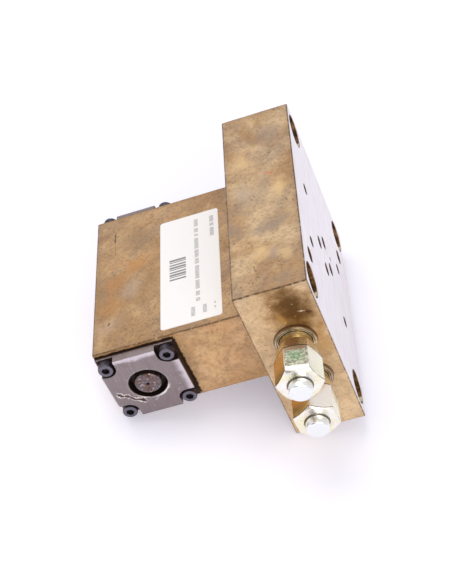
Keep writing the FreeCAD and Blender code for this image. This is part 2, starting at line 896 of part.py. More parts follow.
def relief_poppet(name):
    """Cone on the inner seat, a slim neck past the windows and a land that guides it."""
    cone = relief_cone_diameter / 2.0
    neck = relief_neck_diameter / 2.0
    seat = relief_seat + seat_gap
    tip = seat - (relief_seat_bore - relief_tip_diameter) / 2.0
    shoulder = seat + cone - relief_seat_bore / 2.0
    land = relief_chamber_bore / 2.0 - running_gap
    profile = [
        (tip, 0),
        (tip, relief_tip_diameter / 2.0),
        (shoulder, cone),
        (shoulder + relief_cone_rim, cone),
        (shoulder + relief_cone_rim, neck),
        (relief_land_start, neck),
        (relief_land_start, land),
        (relief_land_end, land),
        (relief_land_end, 0),
    ]
    return turned(profile, cartridge_origin(name), cartridge_outward)


def relief_spring(name):
    mean = relief_chamber_bore - relief_wire - 2.0 * contact_gap
    return helix_spring(relief_land_end + contact_gap, adjuster_start - contact_gap, mean, relief_wire,
                        relief_turns, cartridge_origin(name), cartridge_outward)


def adjusting_screw(name):
    """Threaded stud that presses on the spring, with a hexagon socket under the cap."""
    radius = adjuster_diameter / 2.0 - thread_gap
    tip = relief_chamber_bore / 2.0 - adjuster_tip_clearance
    end = adjuster_start + adjuster_length
    profile = [
        (adjuster_start, 0),
        (adjuster_start, tip),
        (adjuster_start + adjuster_tip_taper, radius),
        (end, radius),
        (end, 0),
    ]
    origin = cartridge_origin(name)
    solid = turned(profile, origin, cartridge_outward)
    socket = hexagon(adjuster_socket, end - adjuster_socket_depth, adjuster_socket_depth + cut_overrun,
                     origin, cartridge_outward)
    return solid.cut(socket)


def lock_nut(name):
    origin = cartridge_origin(name)
    nut = hexagon(lock_nut_hex, spigot_end, lock_nut_height, origin, cartridge_outward)
    bore = drill(origin + cartridge_outward * spigot_end, cartridge_outward, adjuster_diameter,
                 lock_nut_height)
    return nut.cut(bore)


def cap_nut(name):
    """Hexagon cap with chamfers at both ends and a plain round crown."""
    origin = cartridge_origin(name)
    start = cap_starts[name]
    end = start + cap_length
    crown_end = end + cap_crown_length
    crown = cap_crown_diameter / 2.0
    cavity = spigot_diameter / 2.0 + thread_gap
    cavity_end = start + cap_cavity_depth
    profile = [(start, cavity)] + chamfered_hexagon(cap_hex, cap_face_diameter, start, end)
    profile += [
        (end, crown),
        (crown_end - cap_crown_chamfer, crown),
        (crown_end, crown - cap_crown_chamfer),
        (crown_end, 0),
        (crown_end - cap_crown_wall, 0),
        (crown_end - cap_crown_wall, cap_crown_bore / 2.0),
        (cavity_end, cap_crown_bore / 2.0),
        (cavity_end, cavity),
    ]
    solid = turned(profile, origin, cartridge_outward)
    return solid.cut(waste_round_hexagon(cap_hex, cap_face_diameter, start, cap_length,
                                         origin, cartridge_outward, cap_turns[name]))


def label():
    """Thin label with rounded corners on the top face of the valve body."""
    x1 = joint_face_x - label_from_joint
    x0 = x1 - label_width
    y0 = label_shift - label_length / 2.0
    solid = block(x0, x1, y0, y0 + label_length, body_height / 2.0, body_height / 2.0 + label_thickness)
    uprights = [edge for edge in solid.Edges if abs(edge.Length - label_thickness) < 1e-6]
    return solid.makeFillet(label_radius, uprights)


def main():
    os.makedirs("parts", exist_ok=True)
    save("base_block", base_block())
    save("valve_body", valve_body())
    save("body_screws", body_screws())
    save("joint_seals", joint_seals())
    save("drilling_plugs", drilling_plugs())
    save("label", label())
    for end, outward in valve_ends.items():
        save(end + "_cover", cover(end))
        save(end + "_cover_screws", cover_screws(outward))
        save(end + "_gland", gland(outward))
        save(end + "_gland_seals", gland_seals(outward))
        save(end + "_plunger", plunger(outward))
        save(end + "_seat_sleeve", seat_sleeve(outward))
        save(end + "_sleeve_seals", sleeve_seals(outward))
        save(end + "_poppet", poppet(outward))
        save(end + "_check_spring", check_spring(outward))
    for name in cartridge_levels:
        save(name + "_cartridge", cartridge(name))
        save(name + "_seal_ring", seal_ring(name))
        save(name + "_nose_seal", nose_seal(name))
        save(name + "_cap_nut", cap_nut(name))
        save(name + "_relief_poppet", relief_poppet(name))
        save(name + "_relief_spring", relief_spring(name))
        save(name + "_adjusting_screw", adjusting_screw(name))
        save(name + "_lock_nut", lock_nut(name))


main()
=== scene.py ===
import json
from itertools import product
from math import cos, pi, radians, sin, sqrt, tan

import bmesh
import bpy
from mathutils import Matrix, Vector

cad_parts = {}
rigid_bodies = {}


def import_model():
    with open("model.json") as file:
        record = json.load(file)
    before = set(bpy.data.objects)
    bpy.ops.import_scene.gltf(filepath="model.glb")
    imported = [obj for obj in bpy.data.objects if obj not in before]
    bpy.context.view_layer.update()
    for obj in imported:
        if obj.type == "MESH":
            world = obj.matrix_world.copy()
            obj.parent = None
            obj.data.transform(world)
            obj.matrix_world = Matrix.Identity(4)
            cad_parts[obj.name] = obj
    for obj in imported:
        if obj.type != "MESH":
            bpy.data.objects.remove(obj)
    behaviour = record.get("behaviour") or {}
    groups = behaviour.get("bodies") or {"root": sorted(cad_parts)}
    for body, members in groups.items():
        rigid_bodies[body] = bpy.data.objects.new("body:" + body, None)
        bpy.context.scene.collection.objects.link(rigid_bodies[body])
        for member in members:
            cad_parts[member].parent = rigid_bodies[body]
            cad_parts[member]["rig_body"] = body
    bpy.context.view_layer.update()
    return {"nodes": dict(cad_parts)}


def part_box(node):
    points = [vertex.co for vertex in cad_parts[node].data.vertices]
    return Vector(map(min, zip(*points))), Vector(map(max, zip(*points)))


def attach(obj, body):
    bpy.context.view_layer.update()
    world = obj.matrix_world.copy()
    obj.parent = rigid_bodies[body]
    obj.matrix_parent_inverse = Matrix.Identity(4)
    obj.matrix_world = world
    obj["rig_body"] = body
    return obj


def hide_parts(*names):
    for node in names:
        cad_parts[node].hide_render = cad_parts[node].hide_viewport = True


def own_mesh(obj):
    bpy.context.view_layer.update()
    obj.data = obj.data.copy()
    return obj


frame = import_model()
nodes = frame["nodes"]

# Lengths are in millimetres in the row frame unless a name says metres.
MM = 0.001
OUTWARD = {"front": Vector((0, -1, 0)), "rear": Vector((0, 1, 0))}
CARTRIDGE_OUTWARD = Vector((0, -1, 0))


def mm_box(node):
    """Lowest and highest corner of a CAD node."""
    low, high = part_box(node)
    return low / MM, high / MM


def middle(node):
    low, high = mm_box(node)
    return (low + high) / 2


PLATE_LOW, PLATE_HIGH = mm_box("base_block")
BODY_LOW, BODY_HIGH = mm_box("valve_body")
COVER_LOW, COVER_HIGH = mm_box("front_cover")
COVER_FACE = -COVER_LOW.y
UPPER = middle("upper_seal_ring")
LOWER = middle("lower_seal_ring")
LEVELS = ("upper", "lower")
COVER_SCREW_HEAD = 8.5
CORNER_BOLT_Y = 63
CORNER_BOLT_Z = 43
CORNER_HEAD_RADIUS = 10
VALVE_BOLT_SPAN_Y = 44.45
VALVE_BOLT_SPAN_Z = 65.07
PILOT_PORT_Y = 41
PILOT_PORT_Z = 40.5
RETURN_PORT_Y = -53
BOLT_THREAD = {"radius": 3.4, "pitch": 1.25, "depth": 14, "height": 0.32}
PORT_THREAD = {"pitch": 0.907, "depth": 9, "height": 0.26}
CAP_FLATS = 22
CAP_FACE = 10.7
CAP_BORE = 7.75
CAP_CROWN = 6.25
CAP_CROWN_LENGTH = 5.8
CAP_CHAMFER = tan(radians(30))
CAP_TURNS = {"upper": 10, "lower": 27}


def add_object(name, data):
    made = bpy.data.objects.new(name, data)
    bpy.context.scene.collection.objects.link(made)
    return made


# Camera, solved from the photograph's perspective

CAMERA_PLACE = Vector((101.59, -581.82, 519.09))
CAMERA_FORWARD = Vector((-0.20379, 0.72684, -0.65587))
CAMERA_UP = Vector((0.26535, 0.68586, 0.67763))
CAMERA_LENS = 85.71


def add_camera():
    data = bpy.data.cameras.new("photo_camera")
    data.lens = CAMERA_LENS
    data.sensor_width = 36
    data.sensor_fit = "AUTO"
    data.clip_start = 0.01
    camera = add_object("photo_camera", data)
    right = CAMERA_FORWARD.cross(CAMERA_UP).normalized()
    up = right.cross(CAMERA_FORWARD).normalized()
    axes = Matrix((right, up, -CAMERA_FORWARD.normalized())).transposed()
    camera.matrix_world = Matrix.Translation(CAMERA_PLACE * MM) @ axes.to_4x4()
    bpy.context.scene.camera = camera


# Materials

class Graph:
    """Short ways to build a tree of shader nodes."""

    def __init__(self, tree):
        self.tree = tree

    def feed(self, socket, value):
        """Links another node's output to a socket, or sets a constant there."""
        if isinstance(value, bpy.types.NodeSocket):
            self.tree.links.new(value, socket)
        elif socket.type == "RGBA":
            socket.default_value = (*value, 1)
        else:
            socket.default_value = value

    def node(self, kind, *values, named=None, **settings):
        """A new node and its settings. Values go to its first sockets in order, named ones by name."""
        made = self.tree.nodes.new(kind)
        for key, value in settings.items():
            setattr(made, key, value)
        for number, value in enumerate(values):
            self.feed(made.inputs[number], value)
        for name, value in (named or {}).items():
            self.feed(made.inputs[name], value)
        return made

    def math(self, operation, *values):
        return self.node("ShaderNodeMath", *values, operation=operation).outputs[0]

    def add(self, a, b):
        return self.math("ADD", a, b)

    def less(self, a, b):
        return self.math("SUBTRACT", a, b)

    def times(self, first, *others):
        for other in others:
            first = self.math("MULTIPLY", first, other)
        return first

    def either(self, a, b):
        return self.math("MAXIMUM", a, b)

    def lesser(self, a, b):
        return self.math("MINIMUM", a, b)

    def magnitude(self, a):
        return self.math("ABSOLUTE", a)

    def opposite(self, a):
        return self.less(1, a)

    def length(self, a, b):
        """How far the point (a, b) is from zero."""
        return self.math("SQRT", self.add(self.times(a, a), self.times(b, b)))

    def window(self, value, low, high, before=0, after=1):
        """Before below low, after above high, smooth between. With low above high it runs backwards."""
        ends = (low, high, before, after) if low < high else (high, low, after, before)
        return self.node("ShaderNodeMapRange", value, *ends, interpolation_type="SMOOTHSTEP").outputs[0]

    def span(self, value, low, high):
        """A number that goes from low to high as value goes from 0 to 1."""
        return self.node("ShaderNodeMapRange", value, 0, 1, low, high).outputs[0]


class Paint(Graph):
    """One procedural material. Coordinates are the row frame's, in millimetres."""

    def __init__(self, name):
        self.material = bpy.data.materials.new(name)
        self.material.use_nodes = True
        super().__init__(self.material.node_tree)
        self.shader = self.tree.nodes["Principled BSDF"]
        place = self.node("ShaderNodeTexCoord").outputs["Object"]
        scaled = self.node("ShaderNodeVectorMath", place, named={"Scale": 1 / MM}, operation="SCALE")
        self.spot = scaled.outputs[0]
        self.axes = self.node("ShaderNodeSeparateXYZ", self.spot).outputs
        self.x, self.y, self.z = self.axes
        self.colour = None

    def mapped(self, stretch, shift, turn, source=None):
        """Coordinates whose pattern is drawn out by these factors along the turned axes."""
        values = (source or self.spot, shift, turn, stretch)
        return self.node("ShaderNodeMapping", *values, vector_type="TEXTURE").outputs[0]

    def noise(self, size, detail=4, rough=0.6, stretch=(1, 1, 1), shift=(0, 0, 0), turn=(0, 0, 0),
              warp=0):
        """Cloudy noise, 0 to 1 round a middle of one half, with features about size millimetres wide."""
        named = {"Vector": self.mapped(stretch, shift, turn), "Scale": 1 / size, "Detail": detail,
                 "Roughness": rough, "Distortion": warp}
        return self.node("ShaderNodeTexNoise", named=named).outputs[0]

    def patches(self, low, high, *size, **shape):
        """1 where such noise is above high, 0 where it is below low."""
        return self.window(self.noise(*size, **shape), low, high)

    def ragged(self, distance, amount, *size, **shape):
        """A distance made uneven by such noise, by the amount at most."""
        return self.add(distance, self.span(self.noise(*size, **shape), amount, -amount))

    def warped(self, size, amount):
        """The spot moved about by noise, for ragged shapes."""
        named = {"Vector": self.spot, "Scale": 1 / size, "Detail": 3}
        cloud = self.node("ShaderNodeTexNoise", named=named).outputs["Color"]
        values = (cloud, (amount, amount, amount), self.spot)
        return self.node("ShaderNodeVectorMath", *values, operation="MULTIPLY_ADD").outputs[0]

    def cells(self, size, feature="F1", shift=(0, 0, 0), source=None):
        """Distance to the nearest cell's middle or edge, for cells about size millimetres wide."""
        named = {"Vector": self.mapped((1, 1, 1), shift, (0, 0, 0), source), "Scale": 1 / size}
        return self.node("ShaderNodeTexVoronoi", named=named, feature=feature).outputs[0]

    def mix(self, share, a, b, blend="MIX"):
        made = self.node("ShaderNodeMix", share, data_type="RGBA", blend_type=blend, clamp_factor=True)
        self.feed(made.inputs[6], a)
        self.feed(made.inputs[7], b)
        return made.outputs[2]

    def over(self, colour, tint, *shares):
        """The colour with a tint laid over it. The tint's share is the product of the shares."""
        return self.mix(self.times(*shares), colour, tint)

    def lay(self, tint, *shares):
        """Lays a tint over the material's colour so far."""
        self.colour = self.over(self.colour, tint, *shares)

    def shade(self, factor):
        """Makes the colour so far darker or lighter by a factor near 1."""
        self.colour = self.mix(1, self.colour, factor, blend="MULTIPLY")

    def bump(self, height, depth):
        """Height is 0 to 1, and depth is that range in millimetres."""
        named = {"Strength": 1, "Distance": depth * MM, "Height": height}
        return self.node("ShaderNodeBump", named=named).outputs[0]

    def from_plane(self, number, level):
        """Distance from the plane where that coordinate has that level."""
        return self.magnitude(self.less(self.axes[number], level))

    def wall_distances(self, low, high):
        """Distance to the nearer of the two faces of a box, for each axis."""
        return [self.lesser(self.from_plane(n, low[n]), self.from_plane(n, high[n])) for n in range(3)]

    def edge_distance(self, low, high):
        """On a box's surface, how far the nearest edge of the box is."""
        x, y, z = self.wall_distances(low, high)
        return self.either(self.lesser(x, y), self.lesser(self.either(x, y), z))

    def depth_inside(self, low, high):
        """How far a point lies below every face of a box."""
        x, y, z = self.wall_distances(low, high)
        return self.lesser(self.lesser(x, y), z)

    def far_from(self, number, a, b):
        """Distance from a line along one axis, through these values of the other two coordinates."""
        first, second = [n for n in range(3) if n != number]
        return self.length(self.less(self.axes[first], a), self.less(self.axes[second], b))

    def turned_axes(self, first, second, a, b, turn):
        """Coordinates along and across a direction in the plane of two axes, from the point (a, b)."""
        da = self.less(self.axes[first], a)
        db = self.less(self.axes[second], b)
        along = self.add(self.times(da, cos(turn)), self.times(db, sin(turn)))
        across = self.less(self.times(db, cos(turn)), self.times(da, sin(turn)))
        return along, across

    def smudge(self, plane, middle, size, turn, wobble):
        """A soft ragged spot: 1 at its middle, 0 outside. Plane names two axes, size two half lengths."""
        along, across = self.turned_axes(*plane, *middle, turn)
        from_middle = self.length(self.times(along, 1 / size[0]), self.times(across, 1 / size[1]))
        return self.window(self.add(from_middle, wobble), 1.25, 0.15)

    def streaks(self, turn, width, length, shift=(0, 0, 0)):
        """Noise drawn out along the turned Y axis, as brushing or grinding leaves it."""
        return self.noise(width, 2, 0.5, (1, length / width, 1), shift, turn)

    def scratches(self, turn, width, length, share, shift=(0, 0, 0)):
        """Only the strongest streaks: single thin scratches."""
        return self.window(self.streaks(turn, width, length, shift), 1 - share, 1.04 - share)

    def finish(self, roughness, metallic, normal=None, coat=0):
        """Feeds the shader and hands back the material."""
        named = {"Base Color": self.colour, "Roughness": roughness, "Metallic": metallic,
                 "Coat Weight": coat, "Coat Roughness": 0.3}
        if normal is not None:
            named["Normal"] = normal
        for name, value in named.items():
            self.feed(self.shader.inputs[name], value)
        return self.material


# Colours and patina

GOLD = (0.365, 0.205, 0.085)
PALE_GOLD = (0.47, 0.285, 0.135)
ASH_GOLD = (0.56, 0.385, 0.215)
LIGHT_GOLD = (0.74, 0.5, 0.235)
ORANGE = (0.5, 0.215, 0.05)
SMOKE = (0.27, 0.19, 0.135)
BROWN = (0.21, 0.105, 0.042)
SOOT = (0.045, 0.022, 0.014)
BARE_METAL = (0.85, 0.78, 0.66)
ON_TOP = (0, 0, 0.75)
ON_TOP_CROSSED = (0, 0, -0.75)


def patina(name, low, high, pale, warmth, smoky, pitted):
    """Golden-brown block metal: clouds, smoke, mottling, specks, polishing marks, grimy edges and nicks."""
    p = Paint(name)
    cloud = p.noise(30, 3, 0.5, warp=0.6)
    mottle = p.noise(7, 4, 0.55, (1, 1.7, 1), (40, 7, 3), (0, 0, -0.6))
    speck = p.noise(1.9, 3, 0.7, shift=(3, 90, 12))
    brushed = p.add(p.streaks(ON_TOP, 0.9, 13), p.streaks(ON_TOP_CROSSED, 0.9, 11, (7, 3, 9)))
    brushed = p.times(p.add(brushed, p.streaks((1.57, 0.8, 0), 0.9, 11, (2, 8, 5))), 0.33)
    p.colour = p.mix(p.window(cloud, 0.36, 0.64), GOLD, pale)
    warm = p.patches(0.5, 0.68, 20, 3, 0.5, shift=(11, 50, 8), warp=0.5)
    p.lay(ORANGE, warm, warmth)
    smoke = p.patches(0.48, 0.66, 15, 3, 0.5, (1, 1.5, 1), (60, 21, 4), (0, 0, -0.6), 0.4)
    p.lay(SMOKE, smoke, smoky)
    p.lay(BROWN, p.window(mottle, 0.5, 0.72), 0.3)
    p.lay(LIGHT_GOLD, p.window(mottle, 0.48, 0.28), 0.28)
    speckled = p.span(p.window(speck, 0.44, 0.7), 1.04, 0.72)
    polished = p.span(p.window(brushed, 0.4, 0.6), -0.06, 0.06)
    p.shade(p.add(speckled, polished))
    area = p.patches(0.44, 0.6, 13, 3, 0.6, shift=(3, 3, 30))
    pits = p.window(p.add(p.cells(2.3, shift=(5, 5, 9)), p.span(speck, 0.14, -0.14)), 0.24, 0.13)
    p.lay(SOOT, pits, area, pitted)
    crack = p.window(p.cells(4.5, "DISTANCE_TO_EDGE", source=p.warped(3, 4.5)), 0.06, 0)
    p.lay(BROWN, crack, area, p.times(smoke, pitted))
    edge = p.edge_distance(low, high)
    ragged = p.ragged(edge, 0.7, 2, 4, 0.75, shift=(2, 5, 7))
    p.lay(BROWN, p.window(edge, 4.5, 0.5), 0.22)
    darkened = p.window(ragged, 0.95, 0.4)
    p.lay(SOOT, darkened, 0.85)
    chips = p.patches(0.6, 0.65, 2.2, 4, 0.7, shift=(8, 2, 5))
    nick = p.times(p.window(edge, 0.75, 0.35), chips)
    p.lay(BARE_METAL, nick)
    marks = p.either(p.scratches((0, 0, 0.4), 0.7, 16, 0.28), p.scratches((0.9, 0, 0), 0.6, 12, 0.28))
    p.lay((0.66, 0.47, 0.28), marks, 0.3)
    rough = p.span(mottle, 0.36, 0.56)
    height = p.add(p.times(p.opposite(speck), 0.5), p.add(p.times(brushed, 0.4), p.times(pits, -0.6)))
    metal = p.either(p.span(nick, 0.15, 0.9), p.times(darkened, 0.65))
    return p, rough, p.bump(height, 0.025), metal


def rubbed_line(p, middle_x, middle_y, turn, length, width):
    """A thin straight mark on a top face: 1 on the line, 0 away from it."""
    along, across = p.turned_axes(0, 1, middle_x, middle_y, turn)
    across = p.ragged(across, width, 4, 3, 0.6)
    on_line = p.window(p.magnitude(across), width, width * 0.3)
    return p.times(on_line, p.window(p.magnitude(along), length / 2, length * 0.4))


def top_spots(p, top, spots):
    """Soft ragged spots on a top face. Hands back the noise that makes them ragged."""
    wobble = p.span(p.noise(6, shift=(4, 4, 1)), -0.7, 0.7)
    for x, y, half_x, half_y, turn, share, tint in spots:
        spot = p.smudge((0, 1), (x, y), (half_x, half_y), turn, wobble)
        p.lay(tint, spot, top, share)
    return wobble


RUSTY = (0.45, 0.19, 0.035)
DULL = (0.26, 0.155, 0.075)
ASHEN = (0.43, 0.32, 0.235)

# Spots on the body's top: x, y, half lengths, turn, share, colour
BODY_TOP_SPOTS = (
    (-105, 8, 11, 7, 0.7, 0.65, RUSTY),
    (-118.5, -3, 8, 9, 0, 0.55, RUSTY),
    (-120, -20, 9, 10, 0, 0.4, RUSTY),
    (-104, 32, 13, 14, 0.6, 0.55, DULL),
    (-107.5, -11, 7, 10, -0.6, 0.5, ASHEN),
    (-126, -10, 4, 12, 0, 0.45, DULL),
    (-121, -36, 12, 7, 0.3, 0.35, ASHEN),
)

# Thin dark marks on the body's top: x, y, turn, length, width
BODY_TOP_MARKS = (
    (-118.2, 37.5, 1.57, 8, 0.8),
    (-118, 28, 1.57, 14, 0.35),
    (-99, 41, 0.6, 15, 0.4),
    (-120.4, -34, 1.2, 2.5, 0.9),
    (-107, 19, 0.6, 6, 0.35),
)

# Spots on the plate's top, in the same order
PLATE_TOP_SPOTS = (
    (-14, 52, 9, 10, 0, 0.55, SMOKE),
    (-18.5, 6, 5, 17, -0.15, 0.45, SMOKE),
    (-29.5, 5, 7, 11, 0, 0.55, ASHEN),
    (-16, -25.5, 13, 6, 0.3, 0.7, SMOKE),
    (-36.5, -23, 5, 9, 0.4, 0.65, SMOKE),
    (-16, -47, 5, 6, 0, 0.55, ASHEN),
    (-12, -68, 9, 6, 0.3, 0.45, SMOKE),
    (-9.4, 4, 5, 12, 0, 0.6, LIGHT_GOLD),
    (-30.5, 33, 7, 8, 0.5, 0.45, LIGHT_GOLD),
    (-22.5, -46, 6, 8, 0, 0.55, LIGHT_GOLD),
    (-10, -51, 5, 7, 0, 0.5, LIGHT_GOLD),
)


def valve_body_material():
    """The body also has a few dark handling marks on top, end faces painted lighter as light from the front,
    and oil with painted contact shade round the cover at each end.
    """
    p, rough, normal, metal = patina(
        "patina_body", BODY_LOW, BODY_HIGH, PALE_GOLD, warmth=0.25, smoky=0.3, pitted=0.55)
    top = p.window(p.z, BODY_HIGH.z - 0.7, BODY_HIGH.z - 0.3)
    top_spots(p, top, BODY_TOP_SPOTS)
    for x, y, turn, length, width in BODY_TOP_MARKS:
        p.lay(SOOT, rubbed_line(p, x, y, turn, length, width), top, min(0.8, width))
    end = p.window(p.magnitude(p.y), BODY_HIGH.y - 0.6, BODY_HIGH.y - 0.2)
    off_x = p.less(p.from_plane(0, (COVER_LOW.x + COVER_HIGH.x) / 2), (COVER_HIGH.x - COVER_LOW.x) / 2)
    off_z = p.less(p.from_plane(2, 0), (COVER_HIGH.z - COVER_LOW.z) / 2)
    off = p.either(off_x, off_z)
    ragged = p.ragged(off, 1.4, 2.5, 4, 0.7, shift=(6, 6, 1))
    # Painted light: the end faces are made lighter, standing in for light from the front.
    p.shade(p.span(end, 1, 1.22))
    p.lay((0.62, 0.345, 0.14), end, 0.22)
    light = p.patches(0.48, 0.66, 9, shift=(2, 6, 7), warp=0.6)
    p.lay((0.84, 0.52, 0.26), light, end, 0.35)
    dark = p.patches(0.5, 0.68, 5, 5, 0.7, shift=(7, 1, 2), warp=0.6)
    p.lay((0.27, 0.145, 0.065), dark, end, 0.38)
    # Oil with painted contact shade: a near-black band on the end faces round the cover, where it meets the
    # body.
    oil_and_contact_shade = p.times(end, p.window(ragged, 1.5, 0.6))
    p.lay((0.03, 0.014, 0.008), oil_and_contact_shade, 0.95)
    return p.finish(rough, p.either(metal, p.times(oil_and_contact_shade, 0.8)), normal, coat=0.12)


def base_block_material():
    """The plate: patina all round, a pale machined port face, hole walls with painted highlights and painted
    shade, and a dark patch of painted shade above the upper cartridge.
    """
    p, rough, normal, metal = patina(
        "patina_plate", PLATE_LOW, PLATE_HIGH, ASH_GOLD, warmth=0.1, smoky=0.4, pitted=0.75)
    at_end = p.window(p.y, PLATE_LOW.y + 0.6, PLATE_LOW.y + 0.3)
    top = p.window(p.z, PLATE_HIGH.z - 0.7, PLATE_HIGH.z - 0.3)
    wobble = top_spots(p, top, PLATE_TOP_SPOTS)

    def near_upper(beside, above, half_x, half_z, turn):
        """A smudge on the near end, placed from the upper cartridge's axis."""
        place = (UPPER.x + beside, UPPER.z + above)
        return p.times(p.smudge((0, 2), place, (half_x, half_z), turn, wobble), at_end)

    gleam = p.patches(0.4, 0.62, 11, shift=(9, 9, 1))
    bright = p.times(at_end, p.span(gleam, 0.55, 1), 0.72)
    p.lay((0.84, 0.6, 0.345), bright)
    patchy = p.patches(0.5, 0.66, 4, shift=(6, 1, 7))
    p.lay((0.4, 0.23, 0.1), patchy, at_end, 0.42)
    dots = p.window(p.add(p.cells(2.1, shift=(7, 2, 3)), p.span(patchy, 0.05, -0.05)), 0.25, 0.13)
    p.lay((0.17, 0.08, 0.03), dots, at_end, 0.65)
    # Above the upper cartridge: an amber tint, and in it a dark patch (stain) of painted shade.
    amber = near_upper(4, 18, 16, 30, 0.2)
    p.lay((0.4, 0.205, 0.055), amber, 0.92)
    stain = near_upper(5, 24, 12, 19, 0.25)
    p.lay((0.115, 0.05, 0.012), stain, 0.88)
    beside = near_upper(13, -6, 6, 13, 0)
    p.lay((0.46, 0.22, 0.045), beside, 0.6)
    # Painted highlights: small gold glints in the amber tint, a bright glint above the cartridge with a dark
    # spot beside it, and an amber highlight (glow).
    glints = p.patches(0.66, 0.71, 3.4, 4, 0.65, shift=(4, 1, 8))
    p.lay((0.88, 0.62, 0.28), p.window(amber, 0.3, 0.7), glints, 0.7)
    painted_glint = near_upper(9, 19.3, 1.9, 0.7, -0.2)
    painted_glint = p.times(painted_glint, p.patches(0.38, 0.55, 1, 3, 0.6, shift=(5, 2, 2)))
    p.lay((0.95, 0.78, 0.55), painted_glint)
    dark_spot = near_upper(12.4, 17.6, 2.2, 1, -0.5)
    p.lay((0.08, 0.035, 0.015), dark_spot, 0.8)
    glow = near_upper(-1.8, 16.3, 2, 5, 0.3)
    p.lay((0.66, 0.38, 0.09), glow, 0.6)
    edge = p.edge_distance(PLATE_LOW, PLATE_HIGH)
    ragged = p.ragged(edge, 1, 2, 4, 0.75, shift=(2, 5, 7))
    p.lay(SOOT, p.window(ragged, 0.7, 0.25), at_end, 0.8)
    pen = p.times(rubbed_line(p, -14.9, 17.25, -0.12, 5, 0.5), top)
    p.lay((0.62, 0.05, 0.035), pen, 0.8)
    for centre in (UPPER, LOWER):
        shadow = p.window(p.far_from(1, centre.x, centre.z), 11.9, 11.45)
        p.lay(SOOT, shadow, at_end, 0.6)
    inside = p.window(p.depth_inside(PLATE_LOW, PLATE_HIGH), 0.15, 0.35)
    oily = p.patches(0.42, 0.62, 5, 4, 0.7, shift=(3, 8, 1))
    wall = p.mix(oily, (0.1, 0.045, 0.015), (0.42, 0.22, 0.075))
    # Painted highlight: a bright band low on each corner bolt hole's wall.
    lit = 0
    for y, z in product((-CORNER_BOLT_Y, CORNER_BOLT_Y), (-CORNER_BOLT_Z, CORNER_BOLT_Z)):
        off = p.far_from(0, y - 0.1 * CORNER_HEAD_RADIUS, z - 0.99 * CORNER_HEAD_RADIUS)
        lit = p.either(p.window(off, 2.6, 1.2), lit)
    wall = p.over(wall, (1, 0.88, 0.62), lit)
    # Dark turned lines on the walls, and painted shade that darkens the walls of the smaller holes.
    rings = p.window(p.math("SINE", p.times(p.x, 5)), -0.2, 0.9)
    small = p.window(p.magnitude(p.y), 50, 49)
    lines_and_hole_shade = p.either(p.times(rings, p.opposite(lit), 0.45), p.times(small, 0.75))
    wall = p.over(wall, (0.06, 0.028, 0.012), lines_and_hole_shade)
    p.lay(wall, inside)
    face = p.times(p.window(p.from_plane(0, PLATE_HIGH.x), 0.3, 0.05), p.opposite(inside))
    lay = p.streaks((0, 0, 0), 0.9, 26, (0, 4, 0))
    milled = p.mix(p.window(lay, 0.35, 0.7), (0.82, 0.775, 0.785), (0.69, 0.62, 0.64))
    rust = p.patches(0.55, 0.72, 9, 5, 0.65, (1, 2.5, 1), (1, 2, 3))
    milled = p.over(milled, (0.66, 0.53, 0.47), rust, 0.45)
    milled = p.over(milled, (0.55, 0.42, 0.36), p.window(edge, 2.2, 0.4), 0.35)
    p.lay(milled, face)
    bore_metal = p.times(inside, p.span(lit, 0.8, 0))
    metal = p.times(metal, p.opposite(p.either(face, inside)))
    metal = p.either(metal, p.either(p.times(face, 0.75), bore_metal))
    metal = p.either(metal, p.times(p.either(amber, stain), 0.75))
    rough = p.either(p.times(p.opposite(face), rough), 0.28)
    return p.finish(rough, metal, normal, coat=0.1)


